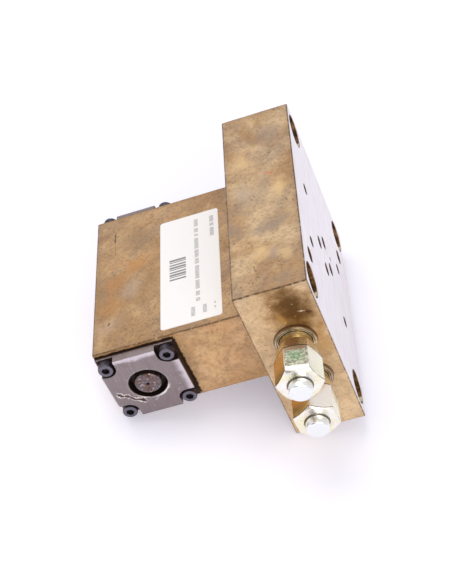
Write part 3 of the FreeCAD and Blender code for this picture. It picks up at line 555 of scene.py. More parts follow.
def ground_steel():
    """Grey ground steel: fine lay, stains, scratches and a gouge; painted highlights along the top and right
    edges and on the hole's rim; near-black side walls, partly painted shade, and oil with painted contact
    shade at the foot.
    """
    p = Paint("ground_steel")
    centre = middle("front_cover")
    lay = p.streaks((1.57, 0, 0), 0.6, 14)
    cloud = p.noise(9, 5, 0.65, warp=0.6)
    p.colour = p.mix(p.window(lay, 0.3, 0.7), (0.24, 0.195, 0.195), (0.275, 0.225, 0.225))
    p.lay((0.2, 0.145, 0.135), p.window(cloud, 0.5, 0.68), 0.35)
    height = p.magnitude(p.y)
    on_face = p.window(height, COVER_FACE - 0.5, COVER_FACE - 0.2)
    ragged = p.span(p.noise(6, 4, 0.65, shift=(1, 1, 6)), 2.6, -2.6)
    from_top = p.add(p.less(COVER_HIGH.z, p.z), ragged)
    from_right = p.add(p.less(COVER_HIGH.x, p.x), ragged)
    # Painted highlight: a bright ragged band along the face's top and right edges.
    edge_highlight = p.either(p.window(from_top, 3.6, 0.8), p.window(from_right, 4.6, 0.8))
    p.lay((0.7, 0.63, 0.67), edge_highlight, on_face, 0.8)
    rising = p.scratches((1.57, 0.9, 0), 0.6, 7, 0.29, (3, 0, 0))
    falling = p.scratches((1.57, -0.4, 0), 0.6, 6, 0.29, (0, 9, 1))
    marks = p.either(rising, falling)
    p.lay((0.76, 0.7, 0.7), marks, 0.6)
    along, across = p.turned_axes(0, 2, centre.x - 12.6, -7.2, radians(-38))
    waver = p.times(p.math("SINE", p.times(along, 0.8)), 0.35)
    across = p.magnitude(p.ragged(p.add(across, waver), 1.9, 1.8, 4, 0.7))
    bulge = p.window(p.magnitude(p.less(p.magnitude(along), 6.6)), 2.2, 0.6)
    across = p.less(across, p.times(bulge, 0.45))
    near_gouge = p.times(p.window(p.magnitude(along), 9.2, 8.2), p.window(p.y, 0, -1))
    uneven = p.span(p.patches(0.38, 0.5, 2.4, 3, 0.6, shift=(5, 5, 5)), 0.25, 0.8)
    burr = p.times(p.window(across, 1.55, 1.15), uneven)
    p.lay((0.9, 0.85, 0.83), near_gouge, burr)
    p.lay((0.28, 0.22, 0.2), near_gouge, p.window(across, 0.95, 0.65))
    gouge = p.times(near_gouge, p.window(across, 0.45, 0.25))
    p.lay((0.07, 0.035, 0.03), gouge)
    pits = p.times(p.window(p.cells(3.4, shift=(2, 1, 5)), 0.13, 0.08), p.window(cloud, 0.54, 0.6))
    p.lay(SOOT, pits, 0.8)
    foot = p.window(p.ragged(height, -0.8, 1.8, 3, 0.7), BODY_HIGH.y + 1.7, BODY_HIGH.y + 0.8)
    on_top = p.window(p.z, COVER_HIGH.z - 0.6, COVER_HIGH.z - 0.3)
    outside = p.either(on_top, p.window(p.x, COVER_LOW.x + 0.6, COVER_LOW.x + 0.3))
    wall = p.times(p.window(height, COVER_FACE - 0.6, COVER_FACE - 1.2), p.opposite(outside))
    # Painted highlight on the hole's rim, strongest at its lower right.
    chipped = p.span(p.noise(2.2, 3, 0.6, shift=(9, 3, 1)), -1.2, 1.2)
    hole_rim_highlight = p.times(p.window(p.add(p.far_from(1, centre.x, 0), chipped), 12.2, 11.4), on_face)
    low_right = p.window(p.far_from(1, centre.x + 5.5, -8.5), 8.5, 4.5)
    p.lay((0.9, 0.86, 0.84), hole_rim_highlight, p.span(low_right, 0.1, 0.75))
    # Near-black on the side walls other than the top and left ones, partly their dark unground surface and
    # partly painted shade, and at the foot oil with painted contact shade.
    darkened = p.either(p.times(foot, 0.93), p.times(wall, 0.93))
    p.lay((0.04, 0.018, 0.01), darkened)
    rough = p.either(p.span(lay, 0.26, 0.42), p.times(darkened, 0.6))
    normal = p.bump(p.add(p.times(lay, 0.5), p.times(p.add(p.add(marks, pits), gouge), -0.5)), 0.02)
    return p.finish(rough, 0.88, normal)


def black_oxide():
    p = Paint("black_oxide")
    cloud = p.noise(2.4)
    wear = p.patches(0.56, 0.7, 1.3, 4, 0.7, shift=(4, 4, 4))
    p.colour = p.mix(p.window(cloud, 0.3, 0.7), (0.04, 0.035, 0.048), (0.105, 0.092, 0.12))
    p.lay((0.3, 0.27, 0.3), wear, 0.35)
    low, high = mm_box("front_cover_screws")
    reach = (high.x - low.x - COVER_SCREW_HEAD) / 2
    from_x = p.less(p.from_plane(0, (low.x + high.x) / 2), reach)
    from_z = p.less(p.from_plane(2, 0), reach)
    from_axis = p.length(from_x, from_z)
    height = p.magnitude(p.y)
    socket = p.times(p.window(from_axis, 2.6, 2.4), p.window(height, -low.y - 0.05, -low.y - 0.35))
    end_face = p.window(from_axis, COVER_SCREW_HEAD / 2, COVER_SCREW_HEAD / 2 - 0.3)
    end_face = p.times(end_face, p.window(height, -low.y - 0.5, -low.y - 0.15))
    p.lay((0.2, 0.175, 0.22), end_face, 0.6)
    # Painted shade: the hexagon socket is made near-black and less metallic.
    p.lay((0.006, 0.005, 0.006), socket, 0.9)
    return p.finish(p.span(cloud, 0.3, 0.46), p.span(socket, 0.78, 0.1), p.bump(cloud, 0.015))


def rod_metal():
    """Plunger end: turned steel, pitted and stained pink-brown."""
    p = Paint("rod_metal")
    cloud = p.noise(4, 5, 0.72)
    pits = p.window(p.add(p.cells(1.9), p.span(cloud, 0.2, -0.2)), 0.34, 0.18)
    p.colour = p.mix(p.window(cloud, 0.4, 0.6), (0.17, 0.145, 0.155), (0.15, 0.075, 0.055))
    p.lay((0.045, 0.028, 0.03), pits, 0.75)
    glint = p.patches(0.57, 0.64, 1.9, 4, 0.7, shift=(9, 1, 1))
    p.lay((0.56, 0.5, 0.5), glint, 0.7)
    return p.finish(p.span(cloud, 0.28, 0.5), 0.85, p.bump(p.opposite(pits), 0.05))


def zinc(name, level=None):
    """Bright zinc plate with a yellow and green tint. A level adds the fine lines of that cap nut."""
    p = Paint(name)
    cloud = p.noise(8, warp=0.7)
    fine = p.noise(1.6, 4, 0.7)
    p.colour = p.mix(p.window(cloud, 0.38, 0.62), (0.86, 0.83, 0.78), (0.85, 0.8, 0.58))
    tint = p.patches(0.52, 0.68, 4, 3, 0.55, shift=(7, 7, 7))
    p.lay((0.7, 0.64, 0.46), tint, 0.3)
    specks = p.window(p.cells(2.4, shift=(1, 6, 2)), 0.13, 0.06)
    p.lay((0.16, 0.11, 0.07), specks, p.window(cloud, 0.45, 0.6))
    rough = p.span(p.add(p.times(cloud, 0.5), p.times(fine, 0.5)), 0.14, 0.36)
    if level:
        return cap_nut_marks(p, level, rough, fine)
    return p.finish(rough, 0.92, p.bump(fine, 0.012))


def cartridge_zinc():
    """Zinc on the cartridges: golden brown, with a painted reflection of the brown block on the top flat of
    the upper hexagon between seal ring and cap nut.
    """
    p = Paint("cartridge_zinc")
    cloud = p.noise(3)
    p.colour = p.mix(p.window(cloud, 0.38, 0.62), (0.8, 0.66, 0.4), (0.66, 0.48, 0.22))
    # Painted reflection: the upper cartridge's top flat is made brown, as if mirroring the block.
    above = p.window(p.z, UPPER.z + 8.6, UPPER.z + 9.2)
    p.lay((0.37, 0.2, 0.085), above, 0.7)
    lines = p.window(p.math("SINE", p.times(p.y, 5.2)), 0.5, 0.9)
    p.lay((0.2, 0.12, 0.05), lines, 0.35)
    return p.finish(p.span(cloud, 0.2, 0.4), 0.9, p.bump(cloud, 0.015))


def cap_nut_marks(p, level, rough, fine):
    """Painted reflection of the golden block on the left flats and a pale yellow tint on the right ones,
    painted shade along the chamfer's arcs and at the crown's foot, a painted highlight on the lower nut's
    top, an etched upper top flat.
    """
    centre = middle(level + "_cap_nut")
    low, high = mm_box(level + "_cap_nut")
    shoulder = low.y + CAP_CROWN_LENGTH
    corner = CAP_FLATS / sqrt(3)
    left_corner = centre.x - corner * sin(radians(30 - CAP_TURNS[level]))
    right_corner = centre.x + corner * sin(radians(30 + CAP_TURNS[level]))
    radius = p.far_from(1, centre.x, centre.z)
    drop = p.times(p.either(p.less(radius, CAP_FACE), 0), CAP_CHAMFER)
    below_chamfer = p.less(p.less(p.y, shoulder), drop)
    arc = p.times(p.window(below_chamfer, 0.1, 0.22), p.window(below_chamfer, 0.95, 0.45))
    broken = p.patches(0.36, 0.5, 5, 3, 0.6, shift=(3, 7, 2))
    arc = p.times(arc, p.either(broken, p.window(p.z, centre.z + 6, centre.z + 9)))
    on_side = p.window(below_chamfer, 0.1, 0.3)
    # Painted reflection of the golden block on the left flats, and a pale yellow tint on the right flats.
    left = p.times(p.window(p.x, left_corner, left_corner - 0.4), on_side)
    p.lay((0.76, 0.44, 0.075), left, 0.85)
    right = p.window(p.x, right_corner, right_corner + 0.4)
    p.lay((0.84, 0.82, 0.6), right, on_side, 0.7)
    from_back = p.less(p.less(high.y, p.y), drop)
    back = p.times(p.window(from_back, 0.9, 0.5), p.window(from_back, 0.02, 0.1))
    arc = p.times(p.either(arc, back), p.window(radius, CAP_FACE + 0.15, CAP_FACE + 0.3))
    foot = p.window(radius, CAP_CROWN + 0.8, CAP_CROWN + 0.5)
    foot = p.times(foot, p.window(p.y, shoulder - 1.2, shoulder - 0.5))
    rust = p.patches(0.55, 0.64, 2.6, 4, 0.7, shift=(8, 2, 2))
    ring = p.window(radius, CAP_CROWN + 2.4, CAP_CROWN + 1)
    ring = p.times(ring, p.window(p.y, shoulder - 0.3, shoulder - 0.1))
    p.lay((0.3, 0.2, 0.12), rust, ring, 0.5)
    crown = p.window(radius, CAP_CROWN + 0.25, CAP_CROWN + 0.1)
    p.lay((0.82, 0.82, 0.815), crown, p.window(p.y, shoulder, shoulder - 0.2))
    # Painted shade: dark lines along the chamfer's arcs at both ends and in the groove at the crown's foot.
    p.lay((0.06, 0.045, 0.04), p.either(p.times(arc, 0.88), p.times(foot, 0.7)))
    if level == "lower":
        # Painted highlight: the upper part of the lower nut is made paler.
        painted_top_highlight = p.times(p.window(p.z, centre.z + 5, centre.z + 8), 0.7)
        p.lay((0.93, 0.85, 0.8), painted_top_highlight, p.opposite(p.either(left, arc)))
        return p.finish(rough, 0.92, p.bump(fine, 0.012))
    beside, across = p.turned_axes(0, 2, centre.x, centre.z, -radians(CAP_TURNS[level]))
    beside = p.magnitude(beside)
    top = p.window(across, CAP_FLATS / 2 - 0.25, CAP_FLATS / 2 - 0.1)
    ragged = p.add(p.from_plane(1, high.y - 9), p.span(fine, -0.6, 0.6))
    patch = p.times(top, p.window(ragged, 5.7, 5.2), p.window(beside, 6.2, 5.9))
    outer = p.times(top, p.window(p.y, high.y - 13.5, high.y - 14.5))
    p.lay((0.5, 0.44, 0.41), outer, p.opposite(arc), 0.9)
    flakes = p.noise(1.7, 5, 0.75, shift=(2, 3, 4))
    to_green = p.window(p.far_from(2, centre.x + 1.5, high.y - 7.4), 6, 1)
    green = p.mix(to_green, (0.22, 0.21, 0.14), (0.15, 0.25, 0.13))
    pale = p.mix(to_green, (0.6, 0.59, 0.47), (0.43, 0.54, 0.37))
    etched = p.mix(p.window(flakes, 0.42, 0.58), green, pale)
    p.lay(etched, patch)
    height = p.add(fine, p.times(patch, p.times(flakes, 3)))
    rough = p.either(rough, p.times(patch, 0.6))
    return p.finish(rough, p.span(patch, 0.92, 0.25), p.bump(height, 0.012))


def seal_ring_zinc():
    """Zinc plate with dark turned lines round each cartridge's axis and an outer side wall darkened as
    painted shade.
    """
    p = Paint("seal_ring_zinc")
    cloud = p.noise(3, 4, 0.65)
    p.colour = p.mix(p.window(cloud, 0.38, 0.62), (0.66, 0.56, 0.4), (0.5, 0.38, 0.22))
    radius = p.lesser(p.far_from(1, UPPER.x, UPPER.z), p.far_from(1, LOWER.x, LOWER.z))
    lines = p.window(p.math("SINE", p.times(radius, 5.2)), 0.15, 0.65)
    lines = p.times(lines, p.patches(0.3, 0.46, 5, 3, 0.6, shift=(2, 2, 9)))
    p.lay((0.07, 0.042, 0.025), lines, 0.85)
    # Painted shade: the ring's outer side wall is made darker.
    p.lay((0.27, 0.19, 0.115), p.window(radius, 11.05, 11.2))
    return p.finish(p.span(cloud, 0.2, 0.4), 0.9, p.bump(p.opposite(lines), 0.04))


def label_paper(low, high):
    """White paper, a little stained, with worn edges."""
    p = Paint("label_paper")
    fibre = p.noise(0.6)
    stain = p.patches(0.58, 0.8, 11, 5, 0.7, warp=0.6)
    p.colour = p.mix(fibre, (0.88, 0.855, 0.845), (0.93, 0.905, 0.895))
    p.lay((0.76, 0.68, 0.6), stain, 0.25)
    edge = p.edge_distance(low, high)
    p.lay((0.6, 0.52, 0.44), p.window(edge, 0.6, 0.05), 0.3)
    return p.finish(p.span(fibre, 0.42, 0.58), 0, p.bump(fibre, 0.012))


def ink():
    p = Paint("label_ink")
    fade = p.noise(0.5, 4, 0.7)
    p.colour = p.mix(fade, (0.14, 0.135, 0.14), (0.36, 0.345, 0.345))
    return p.finish(p.span(fade, 0.45, 0.6), 0)


def plain_metal(name, dark, light, rough, metallic):
    """Metal of an inner piece: two close tones, a fine turned lay and a little bump."""
    p = Paint(name)
    cloud = p.noise(2)
    lay = p.noise(0.35, 2, 0.5, (6, 1, 6))
    p.colour = p.mix(cloud, dark, light)
    return p.finish(p.span(lay, rough, rough + 0.15), metallic, p.bump(lay, 0.01))


def rubber():
    p = Paint("seal_rubber")
    cloud = p.noise(1.2)
    p.colour = p.mix(cloud, (0.012, 0.012, 0.013), (0.035, 0.033, 0.032))
    return p.finish(p.span(cloud, 0.42, 0.62), 0, p.bump(cloud, 0.02))


# Mesh helpers

def new_piece(mesh, material, body="root"):
    """An object with its mesh's name, material, body and slot."""
    piece = add_object(mesh.name, mesh)
    mesh.materials.append(material)
    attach(piece, body)
    return piece


def mesh_from(name, maker):
    mesh = bpy.data.meshes.new(name)
    maker.to_mesh(mesh)
    maker.free()
    return mesh


def finished_mesh(name, maker, sharp_degrees=35):
    """Turns a bmesh into a mesh with smooth faces and sharp edges where it bends hard."""
    bmesh.ops.recalc_face_normals(maker, faces=maker.faces)
    for face in maker.faces:
        face.smooth = True
    limit = radians(sharp_degrees)
    for edge in maker.edges:
        edge.smooth = len(edge.link_faces) == 2 and edge.calc_face_angle(0) < limit
    return mesh_from(name, maker)


def level_and_up(outward):
    """Two unit vectors square to the outward axis. For axes along Y the second is +Z."""
    if abs(outward.z) > 0.9:
        return Vector((1, 0, 0)), Vector((0, 1, 0))
    return Vector((0, 0, 1)).cross(outward), Vector((0, 0, 1))


def at_angle(value, angle):
    return value(angle) if callable(value) else value


def join_rows(maker, rows, count, strips):
    """Faces between neighbouring rows of count corners. A row of one corner closes them to a point."""
    for before, after in zip(rows, rows[1:]):
        for number in range(strips):
            following = (number + 1) % count
            corners = [before[number % len(before)], before[following % len(before)],
                       after[following % len(after)], after[number % len(after)]]
            unique = list(dict.fromkeys(corners))
            if len(unique) >= 3:
                maker.faces.new(unique)


def add_turned(maker, stations, origin, outward, count):
    """Adds a surface of turned stations (distance along the axis, radius). Either can depend on the angle."""
    level, up = level_and_up(outward)
    rows = []
    for along, radius in stations:
        if radius == 0:
            rows.append([maker.verts.new((origin + outward * along) * MM)])
            continue
        row = []
        for number in range(count):
            angle = 2 * pi * number / count
            r = at_angle(radius, angle)
            way = level * cos(angle) + up * sin(angle)
            row.append(maker.verts.new((origin + outward * at_angle(along, angle) + way * r) * MM))
        rows.append(row)
    join_rows(maker, rows, count, count)


def turned_piece(name, node, stations, count, sharp_degrees, material):
    """A piece turned round a cartridge's axis. Its stations start at the node's inner end."""
    centre = middle(node)
    origin = Vector((centre.x, mm_box(node)[1].y, centre.z))
    maker = bmesh.new()
    add_turned(maker, stations, origin, CARTRIDGE_OUTWARD, count)
    return new_piece(finished_mesh(name, maker, sharp_degrees), material)


def hexagon(across_flats, rounding, turn_degrees):
    """Radius of a hexagon at each angle: one flat faces up, less a clockwise turn, with softened corners."""
    corner = across_flats / sqrt(3) - rounding
    sixth = pi / 3

    def radius(angle):
        off = (angle - pi / 2 + radians(turn_degrees) + sixth / 2) % sixth - sixth / 2
        return min(across_flats / 2 / cos(off), corner)
    return radius


def chamfered_ends(hexagon_radius, face, start, end):
    """Stations of a hexagon whose ends are chamfered to a round face, with a softened chamfer edge."""
    def inset(extra, from_end):
        def along(angle):
            drop = (hexagon_radius(angle) - face) * CAP_CHAMFER + extra
            return end - drop if from_end else start + drop
        return along

    def rounded(amount):
        return lambda angle: hexagon_radius(angle) - amount

    bends = ((-0.09, 0.15), (0.02, 0.03), (0.15, 0))
    near = [(inset(extra, False), rounded(amount)) for extra, amount in bends]
    far = [(inset(extra, True), rounded(amount)) for extra, amount in reversed(bends)]
    return [(start, face - 0.1), (start + 0.05, face)] + near + far + [(end - 0.05, face), (end, face - 0.1)]


def softened(node, material, width, angle=30):
    """A copy of a rigid CAD node with its sharp edges rounded. It stands for that node."""
    maker = bmesh.new()
    maker.from_mesh(nodes[node].data)
    bmesh.ops.remove_doubles(maker, verts=maker.verts, dist=0.002 * MM)
    bmesh.ops.dissolve_limit(maker, angle_limit=radians(0.6), verts=maker.verts, edges=maker.edges)
    mesh = finished_mesh(node + "_dressed", maker)
    piece = new_piece(mesh, material, nodes[node]["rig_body"])
    bevel = piece.modifiers.new("rounded_edges", "BEVEL")
    bevel.width = width * MM
    bevel.segments = 2
    bevel.limit_method = "ANGLE"
    bevel.angle_limit = radians(angle)
    bevel.use_clamp_overlap = True
    bevel.harden_normals = True
    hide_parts(node)


def paint_nodes(material, *names):
    """Gives CAD nodes their procedural material."""
    for name in names:
        data = nodes[name].data
        data.materials.clear()
        data.materials.append(material)


# Stage and light

FLOOR_DIFFUSE = (0.8, 0.81, 0.86)
FLOOR_GLOW = (0.27, 0.255, 0.3)
FLOOR_FADE = (0.22, 0.6)
FLOOR_FAR_GLOW = 4
SKY_COLOUR = (1, 0.99, 1)
SKY_FRONT = Vector((-0.15, -0.7, 0.7)).normalized()
SKY_FRONT_EDGE = (0.72, 0.92)
SKY_LIGHT = 0.48
SKY_MIRRORED = 0.9
SKY_FRONT_MIRRORED = 0.1


def add_floor():
    """The object leans on the plate's bottom edge and the valve body's bottom edge."""
    plate_edge = Vector((PLATE_LOW.x, 0, PLATE_LOW.z))
    body_edge = Vector((BODY_LOW.x, 0, BODY_LOW.z))
    slope = (body_edge - plate_edge).normalized()
    up = Vector((slope.z, 0, -slope.x))
    maker = bmesh.new()
    bmesh.ops.create_grid(maker, x_segments=4, y_segments=4, size=4)
    floor = add_object("floor", mesh_from("floor", maker))
    centre = (plate_edge + body_edge) / 2 - up * 0.15
    floor.matrix_world = Matrix.Translation(centre * MM) @ up.to_track_quat("Z", "Y").to_matrix().to_4x4()
    floor.data.materials.append(floor_material())


def floor_material():
    """Pale floor: it keeps the object's soft shadow, is white farther off and clear from below."""
    material = bpy.data.materials.new("pale_floor")
    material.use_nodes = True
    material.node_tree.nodes.clear()
    g = Graph(material.node_tree)
    place = g.node("ShaderNodeTexCoord").outputs["Object"]
    distance = g.node("ShaderNodeVectorMath", place, operation="LENGTH").outputs["Value"]
    rays = g.node("ShaderNodeLightPath").outputs
    strength = g.window(distance, *FLOOR_FADE, 1, FLOOR_FAR_GLOW)
    seen = g.either(g.times(rays["Is Camera Ray"], strength), rays["Is Glossy Ray"])
    glow = g.node("ShaderNodeEmission", FLOOR_GLOW, seen).outputs[0]
    diffuse = g.node("ShaderNodeBsdfDiffuse", FLOOR_DIFFUSE).outputs[0]
    both = g.node("ShaderNodeAddShader", diffuse, glow).outputs[0]
    clear = g.node("ShaderNodeBsdfTransparent").outputs[0]
    facing = g.node("ShaderNodeNewGeometry").outputs["Backfacing"]
    shown = g.node("ShaderNodeMixShader", facing, both, clear).outputs[0]
    g.node("ShaderNodeOutputMaterial", shown)
    return material


def add_world():
    """White to the camera. For the light it is a plain pale sky, which mirrors darker up in front."""
    world = bpy.data.worlds.new("studio")
    bpy.context.scene.world = world
    world.use_nodes = True
    g = Graph(world.node_tree)
    sky = g.tree.nodes["Background"].inputs
    rays = g.node("ShaderNodeLightPath").outputs
    way = g.node("ShaderNodeTexCoord").outputs["Generated"]
    towards = g.node("ShaderNodeVectorMath", way, SKY_FRONT, operation="DOT_PRODUCT").outputs["Value"]
    dimmed = g.window(towards, *SKY_FRONT_EDGE, SKY_MIRRORED, SKY_FRONT_MIRRORED)
    mirrored = g.span(rays["Is Glossy Ray"], SKY_LIGHT, dimmed)
    seen = g.either(rays["Is Camera Ray"], rays["Is Transmission Ray"])
    g.feed(sky["Color"], SKY_COLOUR)
    g.feed(sky["Strength"], g.either(seen, mirrored))


def add_lamp(name, direction, power, size):
    """A square soft box 1.4 m away that looks at the object from a direction in the row frame."""
    data = bpy.data.lights.new(name, "AREA")
    data.shape = "SQUARE"
    data.size = size
    data.energy = power
    lamp = add_object(name, data)
    towards = Vector(direction).normalized()
    target = Vector((-0.05, -0.01, 0))
    lamp.matrix_world = (Matrix.Translation(target + towards * 1.4)
                         @ towards.to_track_quat("Z", "Y").to_matrix().to_4x4())


# Pieces

def screw_head(maker, spot, outward, head, height, socket, shank, length, socket_depth):
    """A socket-head cap screw: knurled side, turned top edge, hexagon socket with a drilled bottom."""
    teeth = 36
    radius = head / 2
    core = shank / 2 - 0.05
    wall = hexagon(socket, 0.05, 0)

    def knurled(angle):
        wave = abs(((angle * teeth / (2 * pi)) % 1) - 0.5) * 2
        return radius - 0.16 * wave ** 1.5

    def wider(amount):
        return lambda angle: wall(angle) + amount

    floor = height - socket_depth
    stations = [
        (-length, 0), (-length, core - 0.45), (-length + 0.5, core), (0, core),
        (0.02, radius - 0.35), (0.25, radius - 0.12), (0.45, knurled), (height - 0.75, knurled),
        (height - 0.62, radius - 0.05), (height - 0.35, radius - 0.14), (height - 0.12, radius - 0.32),
        (height, radius - 0.6), (height, wider(0.28)), (height - 0.22, wider(0.02)), (floor, wall),
        (floor, wider(-0.35)), (floor - socket * 0.15, 0),
    ]
    add_turned(maker, stations, spot, outward, teeth * 4)


def dress_screws(node, outward, material, sizes):
    """The node's screws: one at each corner of its box, with the heads at its outward side."""
    low, high = mm_box(node)
    inset = sizes["head"] / 2
    seat = max(outward.dot(low), outward.dot(high)) - sizes["height"]
    across = [n for n in range(3) if outward[n] == 0]
    maker = bmesh.new()
    for places in product(*((low[n] + inset, high[n] - inset) for n in across)):
        spot = outward * seat
        for n, place in zip(across, places):
            spot[n] = place
        screw_head(maker, spot, outward, **sizes)
    piece = new_piece(finished_mesh(node + "_dressed", maker, 28), material)
    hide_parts(node)


def all_screws(material):
    sizes = {"head": COVER_SCREW_HEAD, "height": 5, "socket": 4, "shank": 5, "socket_depth": 2.5,
             "length": 14}
    for end, outward in OUTWARD.items():
        dress_screws(end + "_cover_screws", outward, material, sizes)
    low, high = mm_box("body_screws")
    sizes = {"head": 10, "height": 6, "socket": 5, "shank": 6, "socket_depth": 3,
             "length": high.x - low.x - 6}
    dress_screws("body_screws", Vector((-1, 0, 0)), material, sizes)


def cap_nut(level, material):
    """Hexagon cap with chamfered ends, a groove at the crown's foot and a crown with a turned end."""
    node = level + "_cap_nut"
    low, high = mm_box(node)
    total = high.y - low.y
    length = total - CAP_CROWN_LENGTH
    flats = hexagon(CAP_FLATS, 0.12, CAP_TURNS[level])
    mouth = [(1.2, CAP_BORE), (0.1, CAP_BORE), (0, CAP_BORE + 0.2)]
    stations = mouth + chamfered_ends(flats, CAP_FACE, 0, length)
    stations += [
        (length, CAP_CROWN + 0.62), (length - 0.22, CAP_CROWN + 0.48), (length - 0.3, CAP_CROWN + 0.2),
        (length - 0.22, CAP_CROWN), (length + 0.2, CAP_CROWN - 0.05), (length + 0.9, CAP_CROWN),
        (total - 1, CAP_CROWN), (total - 0.5, CAP_CROWN - 0.18), (total - 0.18, CAP_CROWN - 0.5),
        (total - 0.03, CAP_CROWN - 1.1), (total, CAP_CROWN - 2.2), (total, 0),
    ]
    piece = turned_piece(node + "_dressed", node, stations, 240, 24, material)
    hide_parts(node)


def seal_ring(level, steel, black):
    """Bonded seal: a steel ring with turned lines and a rubber lip inside."""
    node = level + "_seal_ring"
    low, high = mm_box(node)
    outer = (high.x - low.x) / 2
    thick = high.y - low.y
    bore = 8.9
    stations = [(0.05, bore), (0, bore + 0.2), (0, outer - 0.35), (0.3, outer), (thick - 0.25, outer),
                (thick, outer - 0.25)]
    for groove in (outer - 0.75, outer - 1.45):
        stations += [(thick, groove + 0.2), (thick - 0.2, groove + 0.06), (thick - 0.2, groove - 0.06),
                     (thick, groove - 0.2)]
    stations += [(thick, bore + 0.45), (thick - 0.25, bore + 0.1), (0.05, bore)]
    piece = turned_piece(node + "_dressed", node, stations, 120, 30, steel)
    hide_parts(node)
    inner = 8.12
    lip = [(0.1, inner), (0.5, bore - 0.02), (thick - 0.45, bore - 0.02), (thick - 0.1, inner + 0.18),
           (thick - 0.4, inner), (0.1, inner)]
    turned_piece(node + "_lip", node, lip, 96, 40, black)


def thread_in_hole(name, mouth, inward, material, radius, pitch, depth, height):
    """A helical thread ridge on a hole's wall, from just inside its mouth."""
    level, up = level_and_up(inward)
    start = 0.6
    steps = 40
    turns = (depth - start) / pitch
    maker = bmesh.new()
    rows = []
    for step in range(int(turns * steps) + 1):
        angle = 2 * pi * step / steps
        along = start + pitch * step / steps
        way = level * cos(angle) + up * sin(angle)
        crest = radius - height * min(1, step / steps)
        root = radius + 0.03
        places = ((along, root), (along + pitch * 0.42, crest), (along + pitch * 0.5, crest),
                  (along + pitch * 0.92, root))
        rows.append([maker.verts.new((mouth + inward * a + way * r) * MM) for a, r in places])
    join_rows(maker, rows, 4, 3)
    new_piece(finished_mesh(name, maker, 50), material)


def port_face_threads(material):
    inward = Vector((-1, 0, 0))
    for number, (side_y, side_z) in enumerate(product((-0.5, 0.5), repeat=2), 1):
        mouth = Vector((PLATE_HIGH.x, side_y * VALVE_BOLT_SPAN_Y, side_z * VALVE_BOLT_SPAN_Z))
        thread_in_hole(f"valve_bolt_thread_{number}", mouth, inward, material, **BOLT_THREAD)
    for number, side in enumerate((-1, 1), 1):
        mouth = Vector((PLATE_HIGH.x, side * PILOT_PORT_Y, -side * PILOT_PORT_Z))
        thread_in_hole(f"pilot_port_thread_{number}", mouth, inward, material, radius=4.6, **PORT_THREAD)
    mouth = Vector((UPPER.x, RETURN_PORT_Y, PLATE_LOW.z))
    thread_in_hole("return_port_thread", mouth, Vector((0, 0, 1)), material, radius=4.4, **PORT_THREAD)


def spring(node, material, wire, turns):
    """A round-wire spring in its CAD node's place."""
    low, high = mm_box(node)
    centre = (low + high) / 2
    mean = (high.x - low.x - wire) / 2
    length = high.y - low.y
    around, steps = 10, 28
    maker = bmesh.new()
    rows = []
    total = int(turns * steps)
    for step in range(total + 1):
        angle = 2 * pi * step / steps
        y = low.y + wire / 2 + (length - wire) * step / total
        out = Vector((cos(angle), 0, sin(angle)))
        core = Vector((centre.x, y, centre.z)) + out * mean
        row = []
        for number in range(around):
            turn = 2 * pi * number / around
            offset = out * cos(turn) + Vector((0, 1, 0)) * sin(turn)
            row.append(maker.verts.new((core + offset * (wire / 2)) * MM))
        rows.append(row)
    join_rows(maker, rows, around, around)
    maker.faces.new(rows[0])
    maker.faces.new(rows[-1])
    piece = new_piece(finished_mesh(node + "_coil", maker, 50), material)
    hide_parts(node)
    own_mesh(piece)


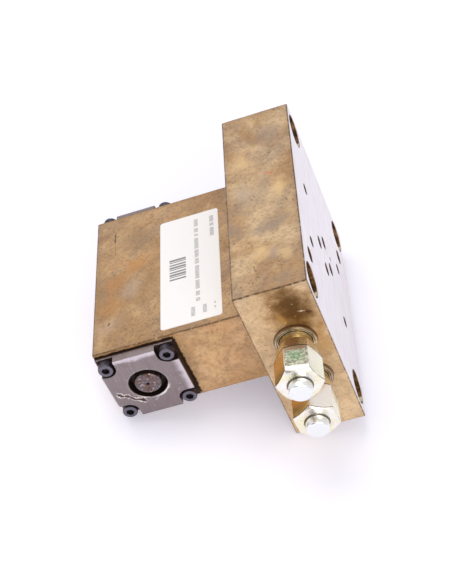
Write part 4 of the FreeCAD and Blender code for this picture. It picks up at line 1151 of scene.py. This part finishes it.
def label_marks(material):
    """Generic print: rows of plain dashes and a block of even bars, a hair above the paper."""
    z = mm_box("label")[1].z + 0.02
    pitch = 0.9
    maker = bmesh.new()

    def mark(x0, x1, y0, y1):
        corners = [(x0, y0), (x1, y0), (x1, y1), (x0, y1)]
        maker.faces.new([maker.verts.new(Vector((x, y, z)) * MM) for x, y in corners])

    rows = (
        (-59.7, 2.4, 32.5, (5.4, 3.2, 7.4)),
        (-69.2, 2.4, 33, (7, 4.2, 2.6, 9, 6.4, 5, 11, 8, 4.4, 3)),
        (-72.2, 2.3, -39, (7.2,)),
        (-65.4, 2.3, -39.3, (7,)),
        (-58.8, 0.9, -39, (2.6, 2.2)),
    )
    for x, height, start, dashes in rows:
        y = start
        for dash in dashes:
            for stroke in range(int(dash / pitch)):
                top = y - stroke * pitch
                mark(x, x + height, top - 0.42, top)
            y -= dash + pitch
    for number in range(9):
        y = 3.6 - number * 2
        mark(-84.4, -74.6, y - (1.5, 0.8, 1.2)[number % 3], y)
    new_piece(mesh_from("label_marks", maker), material)


def dress_everything():
    steel = ground_steel()
    oxide = black_oxide()
    rod = rod_metal()
    plate = zinc("zinc_plate")
    ring_zinc = seal_ring_zinc()
    tarnished = cartridge_zinc()
    inner = plain_metal("inner_steel", (0.42, 0.42, 0.44), (0.6, 0.6, 0.62), rough=0.22, metallic=0.95)
    coil = plain_metal("spring_steel", (0.16, 0.16, 0.18), (0.32, 0.31, 0.33), rough=0.3, metallic=0.9)
    bronze = plain_metal("gland_bronze", (0.018, 0.013, 0.011), (0.06, 0.04, 0.028), rough=0.35, metallic=0.5)
    black = rubber()
    block = base_block_material()

    paint_nodes(block, "base_block")
    paint_nodes(valve_body_material(), "valve_body")
    paint_nodes(label_paper(*mm_box("label")), "label")
    paint_nodes(black, "joint_seals")
    paint_nodes(inner, "drilling_plugs")
    label_marks(ink())
    for end in OUTWARD:
        softened(end + "_cover", steel, 0.3)
        softened(end + "_plunger", rod, 0.12)
        paint_nodes(bronze, end + "_gland")
        paint_nodes(black, end + "_gland_seals", end + "_sleeve_seals")
        paint_nodes(inner, end + "_seat_sleeve", end + "_poppet")
        spring(end + "_check_spring", coil, 1, 3)
    for level in LEVELS:
        cap_nut(level, zinc(level + "_cap_zinc", level))
        seal_ring(level, ring_zinc, black)
        softened(level + "_cartridge", tarnished, 0.2, 25)
        paint_nodes(plate, level + "_lock_nut")
        paint_nodes(black, level + "_nose_seal")
        paint_nodes(inner, level + "_adjusting_screw", level + "_relief_poppet")
        spring(level + "_relief_spring", coil, 1.1, 5)
    all_screws(oxide)
    port_face_threads(block)


add_camera()
add_world()
add_floor()
add_lamp("key_lamp", (0.05, 0.25, 1), power=9, size=1)
add_lamp("left_lamp", (-0.9, -0.5, 0.7), power=2.6, size=1.1)
add_lamp("front_lamp", (0.35, -1, 0.45), power=9.5, size=1)
dress_everything()

bpy.context.scene.view_settings.view_transform = "Standard"
